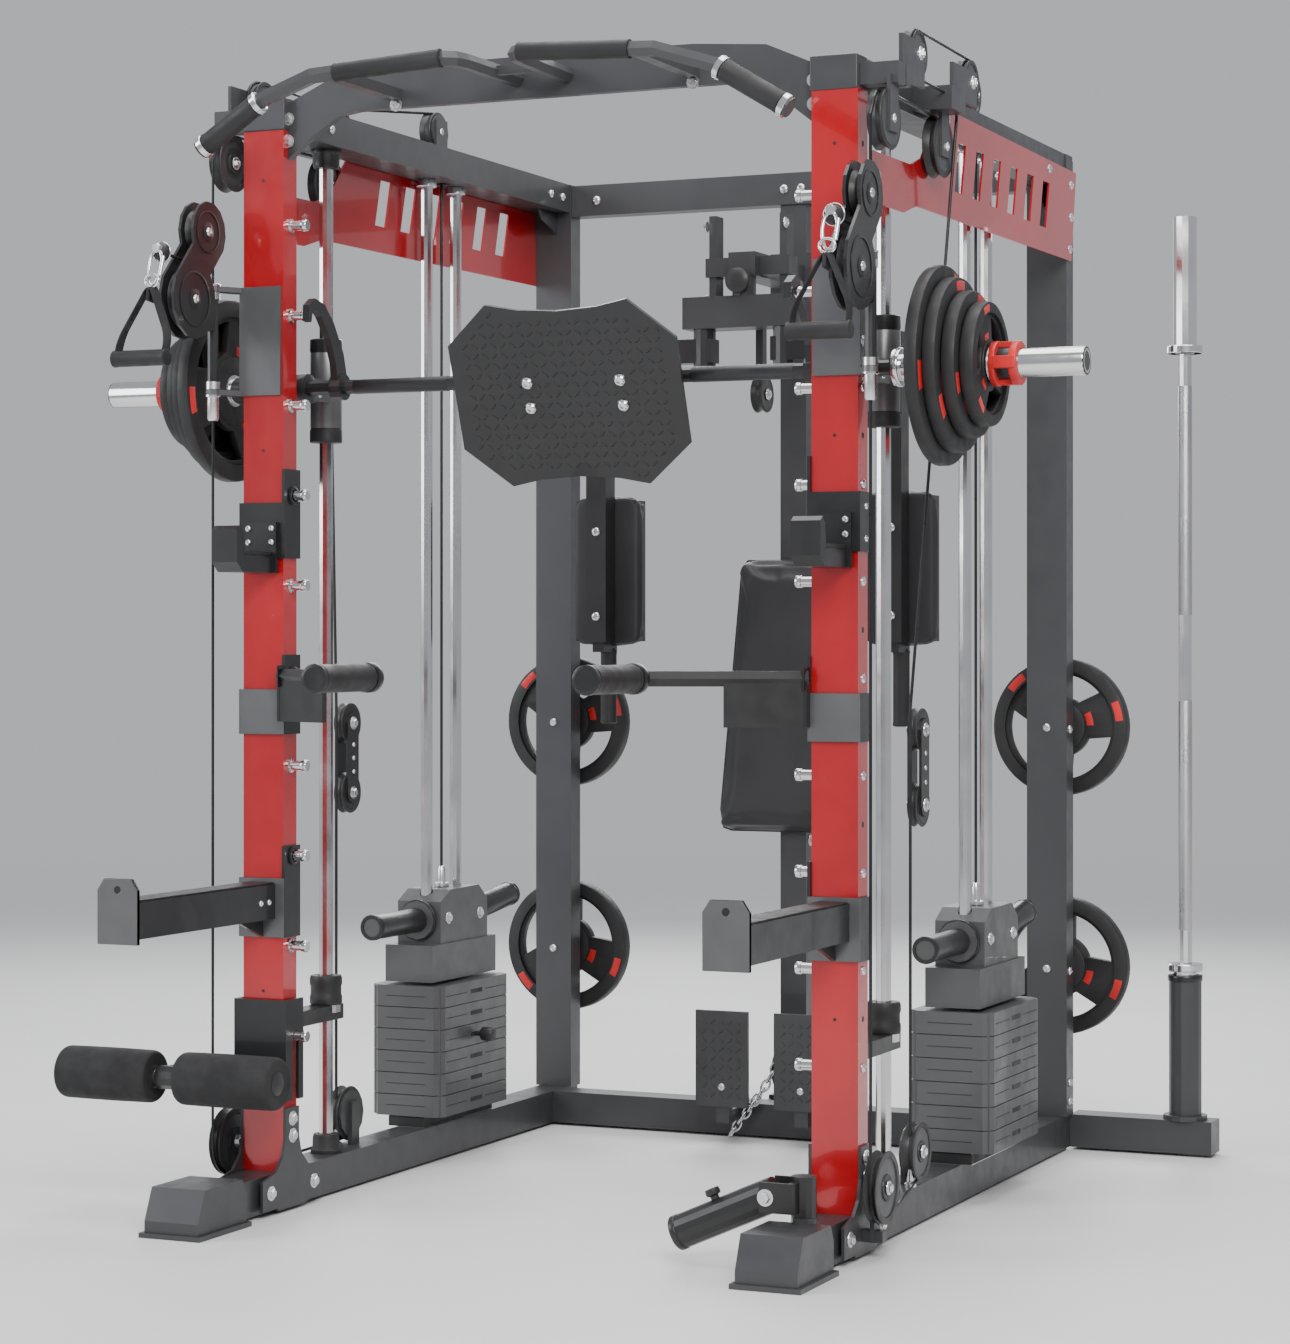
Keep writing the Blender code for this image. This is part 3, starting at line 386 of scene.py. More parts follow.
def curve_mesh(curve):
    """A curve's surface as a clean mesh."""
    holder = bpy.data.objects.new("curve", curve)
    bpy.context.scene.collection.objects.link(holder)
    graph = bpy.context.evaluated_depsgraph_get()
    mesh = bpy.data.meshes.new_from_object(holder.evaluated_get(graph))
    bpy.data.objects.remove(holder, do_unlink=True)
    bm = bmesh.new()
    bm.from_mesh(mesh)
    bmesh.ops.remove_doubles(bm, verts=bm.verts, dist=0.00005)
    bmesh.ops.recalc_face_normals(bm, faces=bm.faces)
    return to_mesh(bm)


def slab(outline, axis, low, high, holes=(), round_edge=0.0):
    """A flat plate with softened edges; outline planes as in the frame's own axes."""
    curve = bpy.data.curves.new("slab", "CURVE")
    curve.dimensions = "2D"
    curve.fill_mode = "BOTH"
    curve.extrude = (high - low) / 2 - round_edge
    curve.bevel_depth = round_edge
    curve.bevel_resolution = 1
    curve.offset = -round_edge
    for loop in (outline, *holes):
        line = curve.splines.new("POLY")
        line.points.add(len(loop) - 1)
        for point, (u, v) in zip(line.points, loop):
            point.co = (u, v, 0.0, 1.0)
        line.use_cyclic_u = True
    mesh = curve_mesh(curve)
    middle = (low + high) / 2
    rows = {
        "X": ((0, 0, 1, middle), (1, 0, 0, 0), (0, 1, 0, 0)),
        "Y": ((1, 0, 0, 0), (0, 0, -1, middle), (0, 1, 0, 0)),
        "Z": ((1, 0, 0, 0), (0, 1, 0, 0), (0, 0, 1, middle)),
    }[axis]
    mesh.transform(Matrix((*rows, (0, 0, 0, 1))))
    return mesh


def circle(u, v, radius, sides=32):
    """Points of a circle in a plane."""
    steps = [2 * math.pi * k / sides for k in range(sides)]
    return [(u + radius * math.cos(a), v + radius * math.sin(a)) for a in steps]


def arc(u, v, radius, start, end, steps):
    """Points along an arc in a plane, its angles in degrees."""
    turns = [math.radians(start + (end - start) * k / steps) for k in range(steps + 1)]
    return [(u + radius * math.cos(a), v + radius * math.sin(a)) for a in turns]


def bend(corners, radius, steps=6):
    """A line of points with each inner corner rounded."""
    points = [Vector(corners[0])]
    for before, corner, after in zip(corners, corners[1:], corners[2:]):
        before, corner, after = Vector(before), Vector(corner), Vector(after)
        back = (before - corner).normalized() * radius
        ahead = (after - corner).normalized() * radius
        for k in range(steps + 1):
            t = k / steps
            points.append(corner + back * (1 - t) ** 2 + ahead * t ** 2)
    points.append(Vector(corners[-1]))
    return points


def bolt(place, direction, radius=0.009, height=0.006, washer=True):
    """A hexagon bolt head on a washer, as one mesh."""
    parts = []
    along = Vector(direction).normalized()
    start = Vector(place)
    if washer:
        parts.append(turned(start, along, [(0, 0), (radius * 1.45, 0), (radius * 1.5, 0.0004),
                                           (radius * 1.45, 0.0016), (0, 0.0016)], 24))
        start = start + along * 0.0014
    parts.append(turned(start, along, [(0, 0), (radius, 0), (radius, height * 0.7),
                                       (radius * 0.86, height), (radius * 0.45, height),
                                       (radius * 0.40, height * 0.8), (0, height * 0.8)], 6))
    return merged(parts)


def dome_bolt(place, direction, radius=0.009, height=0.005):
    """A low domed bolt head with its socket."""
    profile = [(0, 0), (radius, 0), (radius, height * 0.25), (radius * 0.86, height * 0.7),
               (radius * 0.58, height), (radius * 0.42, height), (radius * 0.40, height * 0.45),
               (0, height * 0.45)]
    return turned(place, direction, profile, 20)


def pulley(x, y, z, radius, half):
    """A grooved nylon wheel turning about X."""
    rim = half * 0.96
    profile = [(0.006, 0), (radius * 0.36, 0), (radius * 0.38, half * 0.25),
               (radius * 0.78, half * 0.30), (radius * 0.82, 0.0), (radius * 0.98, 0.0),
               (radius, half * 0.12), (radius * 0.90, half * 0.72), (radius * 0.87, half),
               (radius * 0.90, half * 1.28), (radius, half * 1.88), (radius * 0.98, half * 2),
               (radius * 0.82, half * 2), (radius * 0.78, half * 1.70),
               (radius * 0.38, half * 1.75), (radius * 0.36, half * 2), (0.006, half * 2)]
    return turned((x - rim, y, z), (1, 0, 0), profile, 40)


# ---------------------------------------------------------------- the frame's own nodes
def side_names(base):
    """A part's name on each side of the machine."""
    return (base + "_left", base + "_right")


NODE_LOOKS = {RED: (*side_names("front_upright"), *side_names("side_panel")),
              FRAME: (*side_names("base_rail"), "rear_base_beam", "bar_holder",
                      *side_names("rear_upright"), *side_names("top_side_rail"), "rear_top_beam",
                      "front_arch", "rear_column", "pec_bracket"),
              STACK: (*side_names("weight_plates"), *side_names("weight_head")),
              SATIN: (*side_names("smith_carriage"), *side_names("trolley")),
              ROD: (*side_names("smith_rod"), *side_names("stack_guide")), STEEL: ("olympic_bar",),
              BLACK: ("smith_bar", "leg_press_plate", *side_names("floating_pulley"),
                      *side_names("swivel_head"), *side_names("j_hook"), *side_names("dip_handle"),
                      *side_names("spotter_arm"), "leg_roller_bracket", *side_names("pec_arm"),
                      "landmine_swivel", "landmine_tube"),
              RUBBER: (*side_names("bar_plates"), *side_names("stored_plate_low"),
                       *side_names("stored_plate_high")), FOAM: ("foam_rollers",),
              VINYL: ("back_pad",), WEB: side_names("strap_handle"),
              CABLE: (*side_names("cable_loop"), *side_names("lift_cable")), }
EDGE = {"front_upright": 0.0035, "rear_upright": 0.0035, "top_side_rail": 0.0030,
        "base_rail": 0.0025, "rear_base_beam": 0.0025, "rear_top_beam": 0.0035,
        "rear_column": 0.0030, "front_arch": 0.0010, "bar_holder": 0.0015, "spotter_arm": 0.0020,
        "j_hook": 0.0012, "dip_handle": 0.0010, "trolley": 0.0010, "weight_plates": 0.0008,
        "weight_head": 0.0020, "pec_arm": 0.0030, "pec_bracket": 0.0025, "leg_press_plate": 0.0008,
        "side_panel": 0.0006, "landmine_swivel": 0.0012, "leg_roller_bracket": 0.0012,
        "smith_carriage": 0.0010, "swivel_head": 0.0008}
for look, names in NODE_LOOKS.items():
    for name in names:
        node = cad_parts[name]
        node.data.materials.clear()
        node.data.materials.append(look)
        node.data.shade_smooth()
        node.data.set_sharp_from_angle(angle=math.radians(35))
        base = name.removesuffix("_left").removesuffix("_right")
        if base in EDGE:
            rounding(node, EDGE[base])


# ---------------------------------------------------------------- machine dimensions
POST_X, POST_W, POST_D = 0.575, 0.0866, 0.0492
POST_IN, POST_OUT = POST_X - POST_W / 2, POST_X + POST_W / 2
PIN_HEIGHTS = [0.330 + 0.1701 * k for k in range(10)]
ROD_X, ROD_Y = 0.578, 0.245
BAR_Y, BAR_Z = 0.132, 1.562
STACK_X = 0.588
STACK_Z0, STACK_PITCH, STACK_PLATES = 0.097, 0.045, 6
DROP_Y, DROP_LOW, DROP_TOP = 0.755, 0.5607, 2.136       # the hanging part of each lift cable
BLOCK_X, BLOCK_Y = 0.601, 0.372                         # floating pulley block
BLOCK_WHEELS = (("low", 0.773), ("high", 0.912))
RAIL_UNDER = 2.0376                                     # underside of the top side rails
CABLE_R = 0.003
STORED_BAR = (0.851, 1.360)                             # the Olympic bar's upright axis
STORED_X, PEG_HEIGHTS = 0.580, (0.385, 0.893)
CABLE_X, CABLE_Y = 0.658, -0.046
LIFT_Y = 0.327          # the lift cable runs just in front of the floating block
SIDES = (("left", -1), ("right", 1))
LEFT, RIGHT, FRONT, BACK = (-1, 0, 0), (1, 0, 0), (0, -1, 0), (0, 1, 0)
UP, DOWN = (0, 0, 1), (0, 0, -1)


def on_side(side, place):
    """A right-hand point taken to a side of the machine."""
    x, y, z = place
    return (side * x, y, z)


def heads(name, body, places, kind=dome_bolt, look=None, **sizes):
    """Many bolt heads as one piece: (place, direction) pairs."""
    return piece(name, merged([kind(place, direction, **sizes) for place, direction in places]),
                 look or ZINC, body, smooth=30.0)


def through(x, y, z, reach):
    """Bolt places on both ends of an axle along X."""
    return [((x + s * reach, y, z), (s, 0, 0)) for s in (-1, 1)]


# ---------------------------------------------------------------- frame hardware
for word, side in SIDES:
    out, inward = (side, 0, 0), (-side, 0, 0)
    pins = []
    for z in PIN_HEIGHTS:
        shaft = [(0, 0), (0.0135, 0), (0.0135, 0.0035), (0.0094, 0.0045), (0.0094, 0.0270),
                 (0.0108, 0.0275), (0.0112, 0.0290), (0.0112, 0.0362), (0.0098, 0.0382), (0, 0.0382)]
        pins.append(turned(on_side(side, (POST_IN + 0.0002, 0.025, z)), inward, shaft, 20))
    piece("latch_pins_" + word, merged(pins), STEEL, "frame")
    outer = [((side * POST_OUT, 0.025, z), out) for z in PIN_HEIGHTS if z > 0.25]
    heads("upright_bolts_" + word, "frame", outer, radius=0.0085, height=0.0045)
    holes = [turned((side * (POST_OUT - 0.0010), 0.025, z + 0.085), out,
                    [(0, 0), (0.0052, 0), (0.0052, 0.0014), (0.0040, 0.0016), (0, 0.0009)], 18)
             for z in PIN_HEIGHTS]
    front = [turned((side * POST_X, 0.0006, z + 0.085), FRONT,
                    [(0, 0), (0.0030, 0), (0.0030, 0.0012), (0, 0.0008)], 14) for z in PIN_HEIGHTS[::3]]
    piece("upright_plugs_" + word, merged(holes + front), PLASTIC, "frame")
    piece("upright_cap_" + word, merged([box(side * (POST_IN - 0.003), side * (POST_OUT + 0.0002),
                                             -0.003, POST_D + 0.0002, 2.040, 2.1015)]), FRAME,
          "frame", bevel=0.003)
    gusset_bolts = []
    for y, z in ((0.0245, 0.174), (0.0245, 0.142), (-0.055, 0.044), (0.106, 0.044)):
        gusset_bolts.append(((side * (POST_OUT + 0.006), y, z), out))
        gusset_bolts.append(((side * (POST_IN - 0.006), y, z), inward))
    heads("gusset_bolts_" + word, "frame", gusset_bolts, kind=bolt, radius=0.0095, height=0.006)
    panel_holes = ((0.090, 1.900), (0.480, 2.056), (1.140, 2.050), (1.297, 2.036), (1.297, 1.968),
                   (1.288, 1.900))
    panel = [((side * (POST_OUT + 0.0045), y, z), out) for y, z in panel_holes]
    heads("panel_bolts_" + word, "frame", panel, radius=0.0090, height=0.0045)
    rear = [((side * POST_X, 1.2768, z), FRONT) for z in PEG_HEIGHTS]
    rear += [((side * (POST_OUT + 0.0002), 1.300, z), out) for z in (0.105, 0.145, 0.380, 0.890)]
    heads("rear_upright_bolts_" + word, "frame", rear, radius=0.0092, height=0.0050)
    corner = [(1.2768, 1.990), (1.2768, 2.036), (1.190, 2.036), (1.200, 2.018), (1.250, 2.000)]
    piece("corner_gusset_" + word, slab(corner, "X", *sorted((side * 0.566, side * 0.572)),
                                        round_edge=0.0005), FRAME, "frame")
    top_bolts = [((side * (POST_IN + 0.0030), y, 2.068), inward) for y in (0.110, 0.190, 1.180, 1.240)]
    heads("top_rail_bolts_" + word, "frame", top_bolts, radius=0.0090, height=0.0050)
    heads("cap_bolts_" + word, "frame", [((side * (POST_OUT + 0.0002), 0.025, 2.072), out)],
          kind=bolt, radius=0.0095, height=0.0060)
    # smith rod bracket, buffer and cup over the plain rod node
    piece("rod_bracket_" + word, box(side * 0.5552, side * 0.6008, 0.0496, 0.2758, 0.3352, 0.3648),
          BLACK, "frame", bevel=0.0015)
    buffer = [(0.0146, 0), (0.0300, 0), (0.0316, 0.003), (0.0316, 0.016), (0.0300, 0.020),
              (0.0300, 0.036), (0.0316, 0.040), (0.0316, 0.052), (0.0295, 0.057), (0.0146, 0.057)]
    piece("rod_buffer_" + word, turned((side * ROD_X, ROD_Y, 0.3646), UP, buffer, 36), RUBBER, "frame")
    cup = [(0.0146, 0), (0.0300, 0), (0.0300, 0.006), (0.0265, 0.010), (0.0260, 0.030), (0.0240, 0.0365),
           (0.0146, 0.0365)]
    piece("rod_cup_" + word, turned((side * ROD_X, ROD_Y, 0.0752), UP, cup, 36), RUBBER, "frame")
    piece("rod_top_socket_" + word, turned((side * ROD_X, ROD_Y, 2.0375), DOWN, cup, 36), BLACK, "frame")
    piece("stack_base_" + word, box(side * 0.5455, side * 0.6305, 0.5990, 0.9090, 0.0752, 0.0966),
          RUBBER, "frame", bevel=0.002)
    for label, y in (("front", 0.688), ("rear", 0.820)):
        collar = [(0.0128, 0), (0.0210, 0), (0.0215, 0.001), (0.0215, 0.014), (0.0205, 0.015),
                  (0.0128, 0.015)]
        piece("guide_collar_%s_%s" % (label, word),
              turned((side * STACK_X, y, RAIL_UNDER), DOWN, collar, 28), ZINC, "frame")

# ---------------------------------------------------------------- pulleys
WHEELS = (("low_outer", 0.655, 0.016, 0.125, 0.0640, 0.0120),
          ("low_inner", 0.6005, 0.360, 0.135, 0.0540, 0.0120),
          ("top_outer", 0.660, 0.016, 1.985, 0.0545, 0.0130),
          ("top_inner", 0.643, 0.360, 1.985, 0.0570, 0.0120),
          ("crown_front", 0.669, 0.150, 2.120, 0.0425, 0.0115),
          ("crown_rear", 0.669, 0.450, 2.115, 0.0425, 0.0115),
          ("stack_top", 0.5865, 0.715, 2.140, 0.0420, 0.0125))
for word, side in SIDES:
    for label, x, y, z, radius, half in WHEELS:
        piece("wheel_%s_%s" % (label, word), pulley(side * x, y, z, radius, half), PLASTIC, "frame")
        reach = half + 0.002
        heads("wheel_bolts_%s_%s" % (label, word), "frame",
              [((side * x + reach, y, z), RIGHT), ((side * x - reach, y, z), LEFT)],
              kind=bolt, radius=0.0085, height=0.0055)
    block = "pulley_block_" + word
    for label, z in BLOCK_WHEELS:
        piece("block_wheel_%s_%s" % (label, word),
              pulley(side * BLOCK_X, BLOCK_Y, z, 0.0405, 0.0088), PLASTIC, block)
        heads("block_bolts_%s_%s" % (label, word), block,
              through(side * BLOCK_X, BLOCK_Y, z, 0.0142),
              kind=bolt, radius=0.0088, height=0.0055)
    heads("block_link_bolts_" + word, block, [((side * BLOCK_X + s * 0.0142, BLOCK_Y, z), (s, 0, 0))
                                              for s in (-1, 1) for z in (0.815, 0.842, 0.869)],
          radius=0.0045, height=0.0025)
    # the lift cable's fixed route: floor anchor, past the block, crown wheel, wheel above the stack
    route = [(side * BLOCK_X, LIFT_Y, 0.0755), (side * BLOCK_X, LIFT_Y, 0.950)]
    route += [(side * 0.669, u, v) for u, v in arc(0.450, 2.115, 0.0405, 180, 90, 8)]
    route += [(side * STACK_X, u, v) for u, v in arc(0.715, 2.140, 0.0400, 90, 0, 8)]
    piece("lift_route_" + word, tube(route, CABLE_R, 3), CABLE, "frame")
    belt = arc(0.150, 2.120, 0.0425, 90, 270, 10) + arc(0.450, 2.115, 0.0425, -90, 90, 10)
    piece("crown_cable_" + word, tube([(side * 0.6745, u, v) for u, v in belt], 0.0026, 3,
                                      closed=True), CABLE, "frame")
    eye = turned((side * BLOCK_X, LIFT_Y, 0.0749), UP,
                 [(0, 0), (0.011, 0), (0.011, 0.006), (0.0065, 0.009), (0.0062, 0.030),
                  (0.0045, 0.034), (0, 0.034)], 24)
    piece("cable_anchor_" + word, eye, ZINC, "frame")
    drop = tube([(side * STACK_X, DROP_Y, DROP_TOP - (DROP_TOP - DROP_LOW) * k / 12)
                 for k in range(13)], CABLE_R, 3)
    hanging = piece("lift_drop_" + word, drop, CABLE, "frame")
    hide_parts("lift_cable_" + word)
    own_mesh(hanging)

# ---------------------------------------------------------------- weight stacks
for word, side in SIDES:
    body = "stack_" + word
    # painted shade: thin black strips on the plates' side and front faces stand for the shaded gap lines
    # and the shaded channel round the selector pin
    slot_shade = []
    for k in range(STACK_PLATES):
        z = STACK_Z0 + STACK_PITCH * (k + 0.5)
        for s in (-1, 1):
            face = side * STACK_X + s * 0.0832
            slot_shade.append(box(face - 0.0004, face + 0.0004, 0.728, 0.780, z - 0.0045, z + 0.0045))
            slot_shade.append(box(face - 0.0003, face + 0.0003, 0.620, 0.712, z - 0.0008, z + 0.0008))
            slot_shade.append(box(face - 0.0003, face + 0.0003, 0.796, 0.888, z - 0.0008, z + 0.0008))
        slot_shade.append(box(side * STACK_X - 0.045, side * STACK_X + 0.045, 0.5936, 0.5944, z - 0.0008,
                         z + 0.0008))
    piece("stack_slot_shade_" + word, merged(slot_shade), RUBBER, body, bevel=0.0002, segments=1)
    pin_z = STACK_Z0 + STACK_PITCH * 3.5
    pin = turned((side * (STACK_X - 0.0833), 0.754, pin_z), (-side, 0, 0),
                 [(0, 0), (0.005, 0), (0.005, 0.012), (0.013, 0.0135), (0.0145, 0.016), (0.0145, 0.036),
                  (0.012, 0.040), (0, 0.041)], 28)
    piece("selector_pin_" + word, pin, PLASTIC, body)
    for label, start, end in (("front", (0.662, 0.497), (0.448, 0.497)),
                              ("rear", (0.852, 0.4928), (1.0805, 0.5221))):
        a = Vector((side * STACK_X, start[0], start[1]))
        b = Vector((side * STACK_X, end[0], end[1]))
        length = (b - a).length
        horn = [(0.0246, 0), (0.0250, 0.001), (0.0250, length - 0.012), (0.0262, length - 0.011),
                (0.0262, length - 0.002), (0.0250, length), (0.0190, length), (0.0185, length - 0.004),
                (0, length - 0.004)]
        piece("stack_horn_%s_%s" % (label, word), turned(a, b - a, horn, 36), BLACK, body)
        ring = [(0.025, 0), (0.041, 0), (0.0425, 0.0015), (0.0425, 0.006), (0.041, 0.0075),
                (0.025, 0.0075)]
        piece("horn_washer_%s_%s" % (label, word),
              turned(a + (b - a).normalized() * 0.010, b - a, ring, 36), BLACK, body)
    clamp = turned((side * STACK_X, 0.755, 0.5602), UP,
                   [(0, 0), (0.016, 0), (0.016, 0.007), (0.0095, 0.009), (0.0090, 0.034),
                    (0.0060, 0.042), (0.0036, 0.043)], 24)
    piece("stack_cable_clamp_" + word, clamp, ZINC, body)
    heads("stack_head_bolts_" + word, body, [((side * STACK_X + s * 0.0502, y, 0.500), (s, 0, 0))
                                             for s in (-1, 1) for y in (0.690, 0.835)], kind=bolt,
          radius=0.0085, height=0.0050)


# ---------------------------------------------------------------- round weight plates
def ring(centre, direction, inner, outer, width, lip, sides=56):
    """A flat ring with rounded outer edges."""
    profile = [(inner, 0), (outer - lip, 0), (outer - lip * 0.3, lip * 0.3), (outer, lip),
               (outer, width - lip), (outer - lip * 0.3, width - lip * 0.3), (outer - lip, width),
               (inner, width), (inner, 0)]
    return turned(centre, direction, profile, sides)


def grip_slots(u, v, radius, turn):
    """Three curved hand holes."""
    loops = []
    for k in range(3):
        middle = turn + 120 * k
        outer = arc(u, v, radius * 0.760, middle - 34, middle + 34, 12)
        inner = arc(u, v, radius * 0.440, middle + 22, middle - 22, 8)
        loops.append(outer + inner)
    return loops


def grip_plate(name, body, axis, u, v, low, high, radius, turn, faces, hub=0.0262):
    """A tri-grip rubber plate: web with hand holes, thick rim and hub, red blocks on its faces."""
    width = high - low
    direction = RIGHT if axis == "X" else BACK

    def at(depth):
        return (depth, u, v) if axis == "X" else (u, depth, v)

    web = slab(circle(u, v, radius - 0.006, 56), axis, low + width * 0.22, high - width * 0.22,
               [circle(u, v, hub, 40), *grip_slots(u, v, radius, turn)], 0.0018)
    rim = ring(at(low), direction, radius * 0.815, radius, width, 0.006)
    bead = ring(at(low + width * 0.12), direction, hub, radius * 0.375, width * 0.76, 0.003)
    steel = ring(at(low + 0.0003), direction, hub - 0.0005, hub + 0.0045, width - 0.0006, 0.0008)
    made = piece(name, merged([web, rim, bead]), RUBBER, body, smooth=35.0)
    piece(name + "_hub", steel, ZINC, body)
    blocks = []
    for face, sign in faces:
        for k in range(3):
            middle = turn + 60 + 120 * k
            outline = arc(u, v, radius * 0.955, middle - 9, middle + 9, 5)
            outline += arc(u, v, radius * 0.845, middle + 9, middle - 9, 5)
            lo, hi = sorted((face - sign * 0.001, face + sign * 0.0005))
            blocks.append(slab(outline, axis, lo, hi, round_edge=0.0003))
            outline = arc(u, v, radius * 0.50, middle - 12, middle + 12, 5)
            outline += arc(u, v, radius * 0.40, middle + 12, middle - 12, 5)
            inset = face - sign * width * 0.22
            lo, hi = sorted((inset - sign * 0.001, inset + sign * 0.0008))
            blocks.append(slab(outline, axis, lo, hi, round_edge=0.0003))
    piece(name + "_blocks", merged(blocks), REDPLASTIC, body)
    return made


for word, side in SIDES:
    for label, z, turn in zip(("low", "high"), PEG_HEIGHTS, (40, 75)):
        plate = grip_plate("stored_grip_plate_%s_%s" % (label, word),
                           "stored_plate_%s_%s_body" % (label, word), "Y", side * STORED_X, z,
                           1.352, 1.388, 0.147, turn, ((1.352, -1), (1.388, 1)))
        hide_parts("stored_plate_%s_%s" % (label, word))
    body = "bar_plates_" + word
    stack = ((0.7150, 0.7405, 0.177, 10), (0.7410, 0.7665, 0.155, 35), (0.7670, 0.7935, 0.130, 20),
             (0.7940, 0.8215, 0.110, 50))
    for k, (x0, x1, radius, turn) in enumerate(stack):
        low, high = sorted((side * x0, side * x1))
        plate = grip_plate("bar_plate_%d_%s" % (k, word), body, "X", BAR_Y, BAR_Z, low, high,
                           radius, turn, ((side * x1, side), (side * x0, -side)))
        if k == 0:
            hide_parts("bar_plates_" + word)
    jaw = merged([ring((side * 0.8235, BAR_Y, BAR_Z), (side, 0, 0), 0.0262, 0.0400, 0.0120, 0.002, 40),
                  ring((side * 0.8600, BAR_Y, BAR_Z), (side, 0, 0), 0.0262, 0.0390, 0.0140, 0.002, 40)])
    piece("collar_shell_" + word, jaw, REDPLASTIC, body)
    bars = [box(side * 0.829, side * 0.868, BAR_Y - 0.006, BAR_Y + 0.006, BAR_Z + s * 0.0275,
                BAR_Z + s * 0.0385) for s in (-1, 1)]
    bars.append(box(side * 0.829, side * 0.868, BAR_Y + 0.0270, BAR_Y + 0.0380, BAR_Z - 0.008,
                    BAR_Z + 0.008))
    lever = box(side * 0.832, side * 0.872, BAR_Y - 0.0410, BAR_Y - 0.0290, BAR_Z - 0.011, BAR_Z + 0.011)
    piece("collar_ribs_" + word, merged(bars + [lever]), REDPLASTIC, body, bevel=0.0018)
    piece("collar_core_" + word, ring((side * 0.8340, BAR_Y, BAR_Z), (side, 0, 0), 0.0256, 0.0285,
                                      0.0270, 0.001, 36), PLASTIC, body)

# ---------------------------------------------------------------- smith bar
for word, side in SIDES:
    sleeve = [(0.0253, 0), (0.0253, 0.3340), (0.0240, 0.3372), (0.0180, 0.3380), (0.0165, 0.3365),
              (0, 0.3365)]
    piece("bar_sleeve_" + word, turned((side * 0.6545, BAR_Y, BAR_Z), (side, 0, 0), sleeve, 40),
          STEEL, "smith_bar")
    stop = [(0.0142, 0), (0.0290, 0), (0.0345, 0.003), (0.0350, 0.005), (0.0350, 0.013),
            (0.0335, 0.0155), (0.0253, 0.0155)]
    piece("sleeve_stop_" + word, turned((side * 0.6395, BAR_Y, BAR_Z), (side, 0, 0), stop, 40),
          STEEL, "smith_bar")
    carriage = "smith_carriages"
    wrap = [(0.0146, 0), (0.0300, 0), (0.0318, 0.0015), (0.0318, 0.024), (0.0305, 0.026),
            (0.0305, 0.030)]
    piece("carriage_low_" + word, turned((side * ROD_X, ROD_Y, 1.4637), UP, wrap, 40), RUBBER, carriage)
    piece("carriage_high_" + word, turned((side * ROD_X, ROD_Y, 1.6663), DOWN, wrap, 40), BLACK,
          carriage)
    shell = [(0.0305, 0), (0.0309, 0.001), (0.0309, 0.146), (0.0305, 0.147)]
    piece("carriage_shell_" + word, turned((side * ROD_X, ROD_Y, 1.492), UP, shell, 40), SATIN, carriage)
    heads("carriage_bolts_" + word, carriage,
          [((side * ROD_X + s * 0.0222, 0.180, z), (s, 0, 0)) for s in (-1, 1) for z in (1.552, 1.573)],
          radius=0.0055, height=0.0035)
    housing = ring((side * 0.5508, BAR_Y, BAR_Z), (side, 0, 0), 0.0152, 0.0285, 0.0544, 0.002, 40)
    piece("bar_bearing_" + word, housing, BLACK, carriage)
    knurl = turned((side * 0.250, BAR_Y, BAR_Z), (side, 0, 0),
                   [(0.0141, 0), (0.0143, 0.001), (0.0143, 0.199), (0.0141, 0.200)], 28)
    piece("bar_knurl_" + word, knurl, DARK_KNURL, "smith_bar")


# ---------------------------------------------------------------- tread plate
def inside(outline, u, v):
    """Whether a point lies in an outline."""
    within = False
    for (u0, v0), (u1, v1) in zip(outline, outline[1:] + outline[:1]):
        if (v0 > v) != (v1 > v) and u < (u1 - u0) * (v - v0) / (v1 - v0) + u0:
            within = not within
    return within


def tread(place, outline, keep_out, pitch=0.0195, length=0.0098, width=0.0024, rise=0.0013):
    """Raised lozenges of checker plate on the local -Y side of a flat outline."""
    bm = bmesh.new()
    for row in range(-20, 21):
        for column in range(-20, 21):
            u, v = column * pitch, row * pitch
            turn = math.radians(45 if (row + column) % 2 else -45)
            along = (math.cos(turn) * length, math.sin(turn) * length)
            across = (-math.sin(turn) * width, math.cos(turn) * width)
            reach = [(u + s * along[0] * 1.3, v + s * along[1] * 1.3) for s in (-1, 1)]
            if not all(inside(outline, a, b) for a, b in reach):
                continue
            if any(math.hypot(u - a, v - b) < r for a, b, r in keep_out):
                continue
            ring_points = [(u + along[0], v + along[1]), (u + across[0], v + across[1]),
                           (u - along[0], v - along[1]), (u - across[0], v - across[1])]
            foot = [bm.verts.new((a, 0.0006, b)) for a, b in ring_points]
            crest = [bm.verts.new((u + (a - u) * 0.72, -rise, v + (b - v) * 0.55))
                     for a, b in ring_points]
            for k in range(4):
                n = (k + 1) % 4
                bm.faces.new((foot[k], foot[n], crest[n], crest[k]))
            bm.faces.new(crest)
            bm.faces.new(foot[::-1])
    bmesh.ops.recalc_face_normals(bm, faces=bm.faces)
    bmesh.ops.transform(bm, matrix=place, verts=bm.verts)
    return to_mesh(bm)


PRESS_X, PRESS_Y, PRESS_Z, PRESS_TILT = 0.015, 0.100, 1.532, math.radians(20)
PRESS_HALF = [(0.080, 0.163), (0.143, 0.175), (0.231, 0.100), (0.231, -0.100), (0.140, -0.175),
              (0.080, -0.163)]
PRESS_OUTLINE = PRESS_HALF + [(-x, z) for x, z in reversed(PRESS_HALF)]
press_place = (Matrix.Translation((PRESS_X, PRESS_Y, PRESS_Z)) @ Matrix.Rotation(PRESS_TILT, 4, "X")
               @ Matrix.Translation((0.0, -0.004, 0.0)))
press_bolts = [(x - PRESS_X, z) for x in (-0.064, 0.124) for z in (-0.024, 0.024)]
shrunk = [(x * 0.965, z * 0.955) for x, z in PRESS_OUTLINE]
piece("press_tread", tread(press_place, shrunk, [(u, v, 0.019) for u, v in press_bolts]), BLACK,
      "smith_bar")
